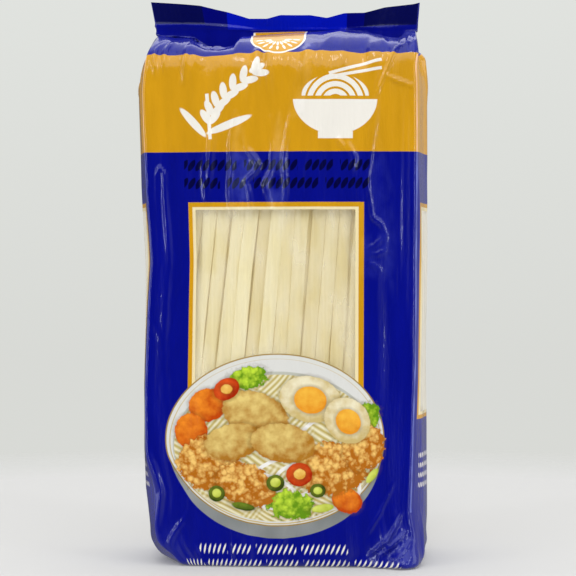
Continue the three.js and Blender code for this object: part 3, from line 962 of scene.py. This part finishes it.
def film_surface_group():
    """The print map in millimetres, with the fine crinkles of the film and a mask for the sheen painted
    where it is slack.
    """
    sockets = {"Place": "Vector", "Crinkle": "Float", "Painted sheen": "Float"}
    group, given, made = new_group("film surface", {}, sockets)
    uv = add_node(group, "ShaderNodeUVMap", uv_map="print")
    place = vector_maths(group, "MULTIPLY", uv.outputs[0], (1 / MM, 1 / MM, 0))
    streaks = vector_maths(group, "MULTIPLY", place, (0.7, 0.09, 0))
    fine = vector_maths(group, "MULTIPLY", place, (0.5, 0.28, 0))
    slack = add_node(group, "ShaderNodeAttribute", attribute_name="slack")
    looseness = maths(group, "MULTIPLY_ADD", slack.outputs["Fac"], 0.9, 0.35)
    crinkle = noise(group, streaks, 1.0, 2.0)
    crinkle = maths(group, "MULTIPLY_ADD", noise(group, fine, 1.6, 3.0), looseness, crinkle)
    # Cloudy patches of painted sheen, only where the film is slack.
    cloud = maths(group, "MULTIPLY_ADD", noise(group, fine, 0.45, 3.0), 2.6, -0.75, clamp=True)
    group.links.new(maths(group, "MULTIPLY", cloud, slack.outputs["Fac"]), made["Painted sheen"])
    group.links.new(place, made["Place"])
    group.links.new(crinkle, made["Crinkle"])
    return group


inked_oval = oval_group()
inked_bar = bar_group()
printed_garnish = garnish_group()
film_surface = film_surface_group()


def oval(tree, place, u, v, half_u, half_v, turn=0.0):
    """The mask of an ellipse by its middle, its half sizes and its turn in degrees."""
    return place_group(tree, inked_oval, Place=place, Centre=(u, v, 0), Half_size=(half_u, half_v, 1),
                       Turn=(0, 0, math.radians(turn)))["Mask"]


def bar(tree, place, left, right, foot, top, turn=0.0):
    """The mask of a rectangle by its edges, turned about its middle."""
    return place_group(tree, inked_bar, Place=place, Centre=((left + right) / 2, (foot + top) / 2, 0),
                       Half_size=((right - left) / 2, (top - foot) / 2, 1),
                       Turn=(0, 0, math.radians(turn)))["Mask"]


def union(tree, masks):
    """1 where any of the masks is."""
    whole = masks[0]
    for mask in masks[1:]:
        whole = maths(tree, "MAXIMUM", whole, mask)
    return whole


def mottled_with_painted_streaks(tree, place, colour, amount=0.12):
    """The ink with the faint unevenness of a printed film, and painted light and shade in long streaks along
    its folds.
    """
    darker = [channel * (1 - amount) for channel in colour[:3]] + [1]
    lighter = [channel * (1 + amount) for channel in colour[:3]] + [1]
    streak_place = vector_maths(tree, "MULTIPLY", place, (1.6, 0.3, 0))
    return lay_ink(tree, darker, lighter, noise(tree, streak_place, 0.11, 3.0))


EAR_PAIRS = 7
EAR_FOOT, EAR_SPAN = (-29, 178), (17, 20)
GRAIN_AWAY, GRAIN_SPREAD = 3.1, 34  # of a grain's middle from the stem, and its angle to it
GRAIN_SIZE = (3.4, 1.45)
EAR_STEM, EAR_TIP = (-30.2, -28.8, 171.6, 190, 4), (-10.4, 200.0, 3.4, 1.4, 28)
EAR_LEAVES = [(-21.5, 177.5, 9.5, 1.6, 22), (-35.5, 178.5, 7.5, 1.5, 130)]


def rice_ear(tree, place):
    """A bending ear of rice: pairs of grains up a stem, with two long leaves."""
    masks = []
    for i in range(EAR_PAIRS):
        share = i / (EAR_PAIRS - 1)
        u, v = EAR_FOOT[0] + EAR_SPAN[0] * share**1.6, EAR_FOOT[1] + EAR_SPAN[1] * share
        lean = between(88, 36, share)
        for side in (-1, 1):
            turn = lean + side * GRAIN_SPREAD
            grain_u = u + GRAIN_AWAY * math.cos(math.radians(turn))
            grain_v = v + GRAIN_AWAY * math.sin(math.radians(turn))
            masks.append(oval(tree, place, grain_u, grain_v, *GRAIN_SIZE, turn))
    masks.append(oval(tree, place, *EAR_TIP))
    masks.append(bar(tree, place, *EAR_STEM))
    masks += [oval(tree, place, *leaf) for leaf in EAR_LEAVES]
    return union(tree, masks)


def rice_bowl(tree, place):
    """A bowl heaped with noodles, with chopsticks across it: halves of ovals, and arcs in the heap."""
    middle = 21
    lower_half = bar(tree, place, 2, 40, 170, 187.4)
    body = maths(tree, "MULTIPLY", oval(tree, place, middle, 188, 17, 14.5), lower_half)
    upper_half = bar(tree, place, 2, 40, 188.8, 200)
    heap = maths(tree, "MULTIPLY", oval(tree, place, middle, 189, 13.5, 8.5), upper_half)
    own = vector_maths(tree, "SUBTRACT", place, (middle, 186, 0))
    arcs = vector_maths(tree, "LENGTH", own, output="Value")
    gaps = maths(tree, "GREATER_THAN", maths(tree, "PINGPONG", arcs, 1.5), 0.45)
    heap = maths(tree, "MULTIPLY", heap, gaps)
    foot = bar(tree, place, middle - 7, middle + 7, 171.8, 174.6)
    sticks = [bar(tree, place, 18, 40, 197.6 + 2.4 * i, 198.8 + 2.4 * i, 10 + 5 * i) for i in range(2)]
    return union(tree, [body, heap, foot, *sticks])


def grain_row(tree, place, left, right, foot, top, pitch, half_u, half_v, turn, gaps=()):
    """A row of slanting grains in groups, as on a woven edge."""
    parts = add_node(tree, "ShaderNodeSeparateXYZ", {0: place})
    across = maths(tree, "SUBTRACT", maths(tree, "FLOORED_MODULO", parts.outputs[0], pitch), pitch / 2)
    repeated = add_node(tree, "ShaderNodeCombineXYZ", {0: across, 1: parts.outputs[1]})
    grains = oval(tree, repeated.outputs[0], 0, (foot + top) / 2, half_u, half_v, turn)
    inside = bar(tree, place, left, right, foot, top)
    for share in gaps:
        gap = between(left, right, share)
        inside = maths(tree, "SUBTRACT", inside, bar(tree, place, gap, gap + pitch, foot, top), clamp=True)
    return maths(tree, "MULTIPLY", grains, inside)


def frame_and_ground(tree, place):
    """The blue ground with the orange band and the border of the front window."""
    colour = mottled_with_painted_streaks(tree, place, BLUE, 0.2)
    orange = mottled_with_painted_streaks(tree, place, ORANGE, 0.16)
    colour = lay_ink(tree, colour, orange, bar(tree, place, *BAND))
    colour = lay_ink(tree, colour, orange, bar(tree, place, *FRAME))
    return lay_ink(tree, colour, CREAM_LINE, bar(tree, place, *FRAME_LINE))


def upper_print(tree, place):
    """The fin, the disc on the shoulder, the band and its ornaments."""
    colour = frame_and_ground(tree, place)
    # Bars of painted light and shade across the fin.
    for ink, left, right, share in FIN_BARS:
        foot = between(FIN_FOOT, FIN_TOP, share)
        colour = lay_ink(tree, colour, ink, bar(tree, place, left, right, foot, FIN_TOP + 5))
    white = mottled_with_painted_streaks(tree, place, WHITE, 0.05)
    colour = lay_ink(tree, colour, white, union(tree, [rice_ear(tree, place), rice_bowl(tree, place)]))
    for foot, gaps in ((151.4, (0.19, 0.33, 0.72)), (158.6, (0.28, 0.61, 0.8))):
        row = grain_row(tree, place, -39.2, 34.8, foot, foot + 5.2, 2.9, 2.6, 1.05, 58, gaps)
        colour = lay_ink(tree, colour, NAVY, row)
    for radius, ink in DISC_RINGS:
        left, right = PRINT_MIDDLE - radius, PRINT_MIDDLE + radius
        disc = union(tree, [
            oval(tree, place, PRINT_MIDDLE, DISC_HEIGHT, radius, radius),
            bar(tree, place, left, right, DISC_HEIGHT, FIN_FOOT - 0.5),
        ])
        colour = lay_ink(tree, colour, ink, disc)
    rays = []
    for reach in (7.6, 4.2):
        for turn in range(-80, 81, 20):
            ray_u = PRINT_MIDDLE + reach * math.sin(math.radians(turn))
            ray_v = DISC_HEIGHT - reach * math.cos(math.radians(turn))
            rays.append(oval(tree, place, ray_u, ray_v, 1.5, 0.5, turn - 90))
    return lay_ink(tree, colour, WHITE, union(tree, rays))


def lower_print(tree, place):
    """The blue ground under the window, with two white woven rows at the foot."""
    colour = frame_and_ground(tree, place)
    for left, right, foot, gaps in (
        (-35, 26, 4.8, (0.2, 0.36, 0.66)),
        (-46, 47, -1.4, (0.12, 0.4, 0.56, 0.78)),
    ):
        row = grain_row(tree, place, left, right, foot, foot + 5.2, 2.1, 2.0, 0.36, 66, gaps)
        colour = lay_ink(tree, colour, WHITE, row)
    return colour


def side_print(tree, place):
    """The same ground on a side, with the border of its window, white rows and a painted highlight down its
    creases.
    """
    colour = mottled_with_painted_streaks(tree, place, BLUE)
    orange = mottled_with_painted_streaks(tree, place, ORANGE, 0.08)
    colour = lay_ink(tree, colour, orange, bar(tree, place, *BAND))
    colour = lay_ink(tree, colour, orange, bar(tree, place, *SIDE_FRAME))
    colour = lay_ink(tree, colour, CREAM_LINE, bar(tree, place, *SIDE_FRAME_LINE))
    for foot in (31, 35, 39, 43):
        row = grain_row(tree, place, -20, 20, foot, foot + 2.6, 1.9, 1.1, 0.5, 70)
        colour = lay_ink(tree, colour, WHITE, row)
    # The painted crease highlight, broken up along its length.
    highlighted = vector_maths(tree, "MULTIPLY_ADD", colour, CREASE_HIGHLIGHT_GAIN, CREASE_HIGHLIGHT_LIFT)
    creases = union(tree, [bar(tree, place, *crease) for crease in PAINTED_CREASE_HIGHLIGHTS])
    up_only = vector_maths(tree, "MULTIPLY", place, (0, 0.2, 0))
    highlight_share = maths(tree, "MULTIPLY_ADD", noise(tree, up_only, 0.3), 2.4, -0.5, clamp=True)
    return lay_ink(tree, colour, highlighted, maths(tree, "MULTIPLY", creases, highlight_share))


BOWL = (PRINT_MIDDLE, 51.2, 44.0, 34.6)  # middle and half sizes
BOWL_BODY_INKS = (0.12, 0.13, 0.13, 1), (0.36, 0.38, 0.38, 1)
GOLD, GOLD_LINE = (0.34, 0.22, 0.05, 1), (0.56, 0.43, 0.18, 1)
RIM_CHINA, CHINA, BROTH_EDGE = (0.70, 0.70, 0.66, 1), (0.70, 0.70, 0.67, 1), (0.50, 0.51, 0.45, 1)
NOODLE_INKS = (0.52, 0.41, 0.12, 1), (0.82, 0.77, 0.54, 1)
LOOP_INK = (0.86, 0.84, 0.80, 1)

# Each food's light and dark colour, how ragged its edge is and how crumbly it looks.
FOOD = {
    "egg white": ((0.86, 0.80, 0.58, 1), (0.60, 0.46, 0.18, 1), 0.10, 0.0),
    "yolk": ((0.90, 0.50, 0.06, 1), (0.80, 0.30, 0.02, 1), 0.08, 0.0),
    "carrot": ((0.86, 0.26, 0.02, 1), (0.52, 0.06, 0.004, 1), 0.22, 0.15),
    "tofu puff": ((0.88, 0.56, 0.16, 1), (0.45, 0.14, 0.010, 1), 0.6, 1.0),
    "mushroom": ((0.78, 0.60, 0.20, 1), (0.42, 0.18, 0.02, 1), 0.22, 0.1),
    "leaf": ((0.54, 0.74, 0.05, 1), (0.13, 0.29, 0.01, 1), 1.0, 0.7),
    "chilli": ((0.76, 0.10, 0.015, 1), (0.38, 0.02, 0.004, 1), 0.12, 0.0),
    "seed": ((0.90, 0.62, 0.16, 1), (0.72, 0.36, 0.05, 1), 0.3, 0.4),
    "spring onion": ((0.16, 0.24, 0.02, 1), (0.03, 0.06, 0.006, 1), 0.12, 0.0),
    "onion heart": ((0.72, 0.78, 0.16, 1), (0.40, 0.48, 0.04, 1), 0.1, 0.0),
}
# What lies in the printed bowl, from the bottom up: kind, place across and up, half sizes and turn.
SERVING = [
    ("leaf", -14, 76, 8, 4.5, 12), ("leaf", 34, 60, 6.5, 5, 60), ("leaf", 3, 25.5, 9.5, 6, -8),
    ("carrot", -30, 65, 7.5, 6.6, 20), ("carrot", -36.5, 54.5, 6.4, 7.2, 0),
    ("carrot", 26, 27, 6.5, 5, -20),
    ("tofu puff", -30, 42, 12.5, 10.5, 20), ("tofu puff", -15, 33, 12.5, 8.5, -20),
    ("tofu puff", 20, 40, 15.5, 10.5, 8), ("tofu puff", 33, 48, 8.5, 9.5, -25),
    ("mushroom", -11, 61.5, 13.6, 8.8, -18), ("mushroom", -20, 50.5, 11.5, 7.2, 12),
    ("mushroom", 0, 50, 13, 7.8, -8),
    ("egg white", 11, 67.5, 12.5, 9.2, -12), ("yolk", 11, 67.2, 6.6, 5.4, -12),
    ("egg white", 26, 59, 10, 8.6, -40), ("yolk", 26.4, 58.6, 5.4, 4.8, -40),
    ("chilli", 6.5, 37.4, 5.2, 4.7, 0), ("seed", 6.7, 37.6, 2.4, 2.1, 0),
    ("chilli", -22.5, 71.5, 5.4, 4.2, 30), ("seed", -22.5, 71.5, 2.3, 1.9, 0),
    ("spring onion", -3, 34, 3.6, 3.3, 0), ("onion heart", -3, 34.2, 2.1, 1.9, 0),
    ("spring onion", -27, 29.5, 3.4, 3.2, 0), ("onion heart", -27, 29.7, 1.9, 1.8, 0),
    ("spring onion", 14, 31, 3.2, 2.8, 0), ("onion heart", 14, 31, 1.8, 1.5, 0),
    ("onion heart", 16, 24, 4.6, 1.6, 8), ("spring onion", -16, 24.5, 4.8, 1.5, -10),
    ("onion heart", 36.5, 37, 3.6, 1.5, 50),
]
NOODLE_LOOPS = [(2, 36, 17, 9, 14), (-8, 31, 15, 7, -16), (14, 33, 18, 10, -6), (20, 50, 17, 12, 24)]
LOOPS_TOP, LOOP_WIDTH = 65, 1.5  # no loop reaches higher


def served_noodles(tree, place):
    """Fine noodles lying in loose swirls in a pale broth."""
    swirls = []
    for turn, scale, shift in ((0.5, 0.16, (10, 70, 0)), (-0.9, 0.17, (-30, 20, 0))):
        mapping = add_node(tree, "ShaderNodeMapping", {
            "Location": shift, "Rotation": (0, 0, turn), "Vector": place,
        })
        wave = add_node(tree, "ShaderNodeTexWave", {
            "Scale": scale, "Distortion": 9.0, "Detail": 1.0, "Detail Scale": 0.25,
            "Vector": mapping.outputs[0],
        }, wave_type="RINGS")
        swirls.append(lay_ink(tree, *NOODLE_INKS, wave.outputs["Fac"]))
    patch = maths(tree, "MULTIPLY_ADD", noise(tree, place, 0.05, 1.0), 9.0, -4.2, clamp=True)
    return lay_ink(tree, swirls[0], swirls[1], patch)


def bowl_print(tree, place, foot=0):
    """The printed serving above a height: a white bowl with a gold line, noodles and what is on them."""
    u, v, half_u, half_v = BOWL
    body = lay_ink(tree, *BOWL_BODY_INKS, noise(tree, place, 0.06, 1.0))
    body_mask = oval(tree, place, u, v - 5.4, half_u - 1.4, half_v - 0.6)
    rim = oval(tree, place, u, v, half_u, half_v)
    colour = lay_ink(tree, lower_print(tree, place), body, body_mask)
    colour = lay_ink(tree, colour, GOLD, rim)
    for drop, narrower, lower, ink in (
        (0.0, 0.5, 0.5, RIM_CHINA),
        (0.6, 1.6, 1.5, GOLD_LINE),
        (0.4, 2.0, 1.8, CHINA),
        (2.6, 2.8, 4.6, BROTH_EDGE),
        (3.2, 3.3, 5.2, served_noodles(tree, place)),
    ):
        within = oval(tree, place, u, v - drop, half_u - narrower, half_v - lower)
        colour = lay_ink(tree, colour, ink, within)
    for loop_u, loop_v, loop_half_u, loop_half_v, turn in NOODLE_LOOPS if foot < LOOPS_TOP else []:
        outer = oval(tree, place, loop_u, loop_v, loop_half_u, loop_half_v, turn)
        inner_u, inner_v = loop_half_u - LOOP_WIDTH, loop_half_v - LOOP_WIDTH
        inner = oval(tree, place, loop_u, loop_v, inner_u, inner_v, turn)
        ring = maths(tree, "SUBTRACT", outer, inner, clamp=True)
        colour = lay_ink(tree, colour, LOOP_INK, ring)
    for kind, at_u, at_v, size_u, size_v, turn in SERVING:
        if at_v + 1.4 * max(size_u, size_v) < foot:
            continue
        light, dark, ragged, crumbs = FOOD[kind]
        colour = place_group(tree, printed_garnish, Place=place, Centre=(at_u, at_v, 0),
                             Half_size=(size_u, size_v, 1), Turn=(0, 0, math.radians(turn)),
                             Under=colour, Light=light, Dark=dark, Ragged=ragged, Crumbs=crumbs)["Color"]
    return colour, union(tree, [rim, body_mask])


def film_material(name):
    """A glossy film: its node tree, its surface and the place on the print."""
    material = bpy.data.materials.new(name)
    material.use_nodes = True
    tree = material.node_tree
    surface = tree.nodes["Principled BSDF"]
    surface.inputs["Roughness"].default_value = FILM_ROUGHNESS
    surface.inputs["IOR"].default_value = FILM_IOR
    film = place_group(tree, film_surface)
    bump = add_node(tree, "ShaderNodeBump", {
        "Strength": CRINKLE_STRENGTH, "Distance": CRINKLE_DEPTH * MM, "Height": film["Crinkle"],
    })
    tree.links.new(bump.outputs["Normal"], surface.inputs["Normal"])
    return material, tree, surface, film, bump.outputs["Normal"]


def printed_material(name, draw):
    """Film inked with what a function draws, painted paler where it is slack as a milky sheen."""
    material, tree, surface, film, _ = film_material(name)
    ink = draw(tree, film["Place"])
    with_painted_sheen = vector_maths(tree, "MULTIPLY_ADD", ink, PAINTED_SHEEN_GAIN, PAINTED_SHEEN_LIFT)
    with_painted_sheen = vector_maths(tree, "MINIMUM", with_painted_sheen, PALEST_PAINTED_SHEEN)
    tree.links.new(lay_ink(tree, ink, with_painted_sheen, film["Painted sheen"]), surface.inputs["Base Color"])
    surface.inputs["Specular Tint"].default_value = FILM_SHEEN
    return material


def mixed(tree, share, first, second):
    """The first shader, and this share of the second."""
    return add_node(tree, "ShaderNodeMixShader", {0: share, 1: first, 2: second}).outputs[0]


def clear_film(tree, place, normal):
    """What the film shows where it has no ink: what lies behind it, under its own haze and gloss."""
    see_through = add_node(tree, "ShaderNodeBsdfTransparent", {"Color": CLEAR_TINT})
    shine = add_node(tree, "ShaderNodeBsdfGlossy", {"Roughness": FILM_ROUGHNESS, "Normal": normal})
    milk = add_node(tree, "ShaderNodeBsdfDiffuse", {"Color": MILK})
    seen_from = add_node(tree, "ShaderNodeNewGeometry")
    outside = maths(tree, "SUBTRACT", 1.0, seen_from.outputs["Backfacing"])
    patches = noise(tree, vector_maths(tree, "MULTIPLY", place, (0.13, 0.045, 0)), 1.0, 2.0)
    haze = maths(tree, "MULTIPLY_ADD", patches, 0.9, -0.33, clamp=True)
    aslant = add_node(tree, "ShaderNodeLayerWeight", {"Blend": 0.5}).outputs["Facing"]
    thicker = maths(tree, "MULTIPLY_ADD", maths(tree, "POWER", aslant, 3.0), 1.1, 0.05)
    haze = maths(tree, "ADD", haze, thicker, clamp=True)
    hazy = mixed(tree, maths(tree, "MULTIPLY", haze, outside), see_through.outputs[0], milk.outputs[0])
    angle = add_node(tree, "ShaderNodeFresnel", {"IOR": CLEAR_IOR, "Normal": normal}).outputs[0]
    gloss = maths(tree, "MULTIPLY", maths(tree, "MINIMUM", angle, MOST_GLOSS), outside)
    return mixed(tree, gloss, hazy, shine.outputs[0])


def clear_material():
    """The film of the windows, which has no ink on it."""
    material, tree, surface, film, normal = film_material("clear film")
    tree.links.new(clear_film(tree, film["Place"], normal), tree.nodes["Material Output"].inputs["Surface"])
    tree.nodes.remove(surface)
    return material


def bowl_window_material():
    """The lowest part of the window, where the bowl's rim is printed over the clear film."""
    material, tree, surface, film, normal = film_material("clear film with the bowl's rim")
    place = film["Place"]
    colour, inked = bowl_print(tree, place, CLEAR_FOOT)
    tree.links.new(colour, surface.inputs["Base Color"])
    both = mixed(tree, inked, clear_film(tree, place, normal), surface.outputs[0])
    tree.links.new(both, tree.nodes["Material Output"].inputs["Surface"])
    return material


UPPER_FOOT, BOWL_FOOT, BOWL_TOP = 147.0, 9.0, 86.5
ABOVE_WINDOW, BELOW_WINDOW, ON_SIDE, ON_BOWL, CUT_EDGE = range(5)
over_bowl = (np.abs(face_u - PRINT_MIDDLE) < 45) & (face_v > BOWL_FOOT) & (face_v < BOWL_TOP)
film_kinds = np.select(
    [on_side, np.broadcast_to(face_v > UPPER_FOOT, on_side.shape), over_bowl],
    [ON_SIDE, ABOVE_WINDOW, ON_BOWL], BELOW_WINDOW,
)
film_bag = film_piece("film_bag", ~window, film_kinds, [
    printed_material("printed film above the window", upper_print),
    printed_material("printed film below the window", lower_print),
    printed_material("printed film of the sides", side_print),
    printed_material("printed film with the bowl", lambda tree, place: bowl_print(tree, place)[0]),
    printed_material("cut edge of the film, with a painted highlight", lambda tree, place: mottled_with_painted_streaks(tree, place, CUT_EDGE_HIGHLIGHT_BLUE)),
], closed_kinds=(BELOW_WINDOW, CUT_EDGE))
window_kinds = np.where(~on_side & (face_v < BOWL_TOP), 1, 0)
clear_windows = film_piece("clear_windows", window, window_kinds, [clear_material(), bowl_window_material()])
for film, slot in ((film_bag, "printed_film"), (clear_windows, "clear_film")):
    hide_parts("noodle_pack")
    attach(film, "root")


# The studio.
# A pale floor fades out round the pack, with soft lights above it and on every side. The camera is
# level with the middle of the pack, a little to its right. Sizes here are in metres.

PICTURE_WIDTH = 576  # pixels
PIXELS_AT_ONE_METRE = 1750.0  # how many a metre spans at one metre from the camera
SENSOR_WIDTH = 36.0  # millimetres
CAMERA_YAW = math.radians(2.5)
CAMERA_HEIGHT, CAMERA_DISTANCE = 0.112, 0.700
FRONT_FACE = 0.029
OFF_CENTRE = 0.002
FLOOR_RADIUS, FLOOR_SIDES = 0.5, 96
FLOOR_COLOUR, FLOOR_GLOW = (0.48, 0.48, 0.473, 1), (1.0, 1.0, 0.985, 1)
LIGHT_AIM = Vector((0, 0, 0.12))
LIGHTS = [  # name, place, width and height, and watts
    ("front softbox", (0, -0.85, 1.1), (1.9, 1.4), 10.8),
    ("overhead softbox", (0, 0.3, 1.25), (1.4, 1.2), 5),
    ("back softbox", (0, 1.0, 1.05), (1.4, 0.9), 3),
    ("small bright light", (-0.02, -0.8, 0.95), (0.1, 0.3), 1.1),
    ("left strip light", (-0.88, -0.74, 0.35), (0.08, 1.2), 3.0),
    ("right strip light", (0.88, -0.74, 0.35), (0.08, 1.2), 3.0),
    ("left side light", (-1.3, 0.12, 0.4), (0.6, 1.2), 4.0),
    ("right side light", (1.3, 0.12, 0.4), (0.6, 1.2), 4.0),
]

camera_data = bpy.data.cameras.new("camera")
camera = bpy.data.objects.new("camera", camera_data)
scene.collection.objects.link(camera)
camera_data.sensor_width = SENSOR_WIDTH
camera_data.lens = PIXELS_AT_ONE_METRE / PICTURE_WIDTH * SENSOR_WIDTH
away = Vector((math.sin(CAMERA_YAW), -math.cos(CAMERA_YAW), 0))
rightward = Vector((math.cos(CAMERA_YAW), math.sin(CAMERA_YAW), 0))
aim = Vector((0, -FRONT_FACE, CAMERA_HEIGHT))
camera.location = aim + away * CAMERA_DISTANCE + rightward * OFF_CENTRE
camera.rotation_euler = (math.radians(90), 0, CAMERA_YAW)
scene.camera = camera

floor_mesh = bpy.data.meshes.new("floor")
around = np.linspace(0, 2 * math.pi, FLOOR_SIDES, endpoint=False)
floor_rim = [(FLOOR_RADIUS * math.cos(a), FLOOR_RADIUS * math.sin(a), 0) for a in around]
floor_mesh.from_pydata(floor_rim, [], [list(range(FLOOR_SIDES))])
floor = bpy.data.objects.new("floor", floor_mesh)
scene.collection.objects.link(floor)
floor.visible_glossy = False
floor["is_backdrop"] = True
pale = bpy.data.materials.new("pale floor")
pale.use_nodes = True
pale_surface = pale.node_tree.nodes["Principled BSDF"]
pale_surface.inputs["Base Color"].default_value = FLOOR_COLOUR
pale_surface.inputs["Emission Color"].default_value = FLOOR_GLOW
pale_surface.inputs["Emission Strength"].default_value = 0.12
pale_surface.inputs["Roughness"].default_value = 0.9
floor_mesh.materials.append(pale)
floor_tree = pale.node_tree
floor_place = add_node(floor_tree, "ShaderNodeTexCoord")
floor_reach = vector_maths(floor_tree, "LENGTH", floor_place.outputs["Object"], output="Value")
floor_fade = maths(floor_tree, "MULTIPLY_ADD", floor_reach, -6.0, 3.0, clamp=True)
floor_tree.links.new(floor_fade, pale_surface.inputs["Alpha"])


def ramp(tree, value, stops):
    """A colour ramp over a value from -1 to 1, with the stops given as shares of it."""
    node = add_node(tree, "ShaderNodeValToRGB", {"Fac": maths(tree, "MULTIPLY_ADD", value, 0.5, 0.5)})
    elements = node.color_ramp.elements
    elements[0].position, elements[1].position = stops[0][0], stops[-1][0]
    elements[0].color, elements[1].color = stops[0][1], stops[-1][1]
    for position, colour in stops[1:-1]:
        elements.new(position).color = colour
    return node.outputs[0]


def grey(level):
    """A neutral colour."""
    return (level, level, level, 1)


def make_world():
    """Soft light from above and the sides, dark in front, where the film would mirror it."""
    world = bpy.data.worlds.new("studio")
    scene.world = world
    world.use_nodes = True
    tree = world.node_tree
    direction = add_node(tree, "ShaderNodeTexCoord").outputs["Generated"]
    upward = add_node(tree, "ShaderNodeSeparateXYZ", {0: direction}).outputs[2]
    toward_front = vector_maths(tree, "DOT_PRODUCT", direction, (-0.087, -0.996, 0.0), output="Value")
    walls = ramp(tree, toward_front, [
        (0.0, grey(0.52)), (0.55, grey(0.52)), (0.80, grey(0.50)),
        (0.88, grey(0.38)), (0.93, grey(0.18)), (0.965, grey(0.05)), (1.0, grey(0.01)),
    ])
    toward_back = vector_maths(tree, "DOT_PRODUCT", direction, (-0.21, 0.978, 0.0), output="Value")
    behind = ramp(tree, toward_back, [(0.86, grey(1.0)), (0.95, grey(0.5)), (1.0, grey(0.2))])
    walls = vector_maths(tree, "MULTIPLY", walls, behind)
    sky = ramp(tree, upward, [(0.58, grey(0.0)), (0.72, grey(0.5)), (0.85, grey(0.6))])
    background = tree.nodes["Background"]
    tree.links.new(vector_maths(tree, "MAXIMUM", walls, sky), background.inputs["Color"])
    wall = ramp(tree, upward, [(0.48, (0.69, 0.70, 0.67, 1)), (0.62, (0.77, 0.79, 0.76, 1))])
    seen = add_node(tree, "ShaderNodeBackground", {"Color": wall})
    is_seen = add_node(tree, "ShaderNodeLightPath").outputs["Is Camera Ray"]
    both = mixed(tree, is_seen, background.outputs[0], seen.outputs[0])
    tree.links.new(both, tree.nodes["World Output"].inputs["Surface"])


def soft_light(name, place, size, watts):
    """A rectangular light turned to the middle of the pack."""
    data = bpy.data.lights.new(name, "AREA")
    data.shape = "RECTANGLE"
    data.size, data.size_y = size
    data.energy = watts
    light = bpy.data.objects.new(name, data)
    light.location = place
    light.rotation_euler = (LIGHT_AIM - Vector(place)).to_track_quat("-Z", "Y").to_euler()
    scene.collection.objects.link(light)


make_world()
for name, place, size, watts in LIGHTS:
    soft_light(name, place, size, watts)

scene.view_settings.view_transform = "Standard"

boxes = {"cad": cad_box, "visual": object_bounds()}
{name: [list(map(float, corner)) for corner in box] for name, box in boxes.items()}
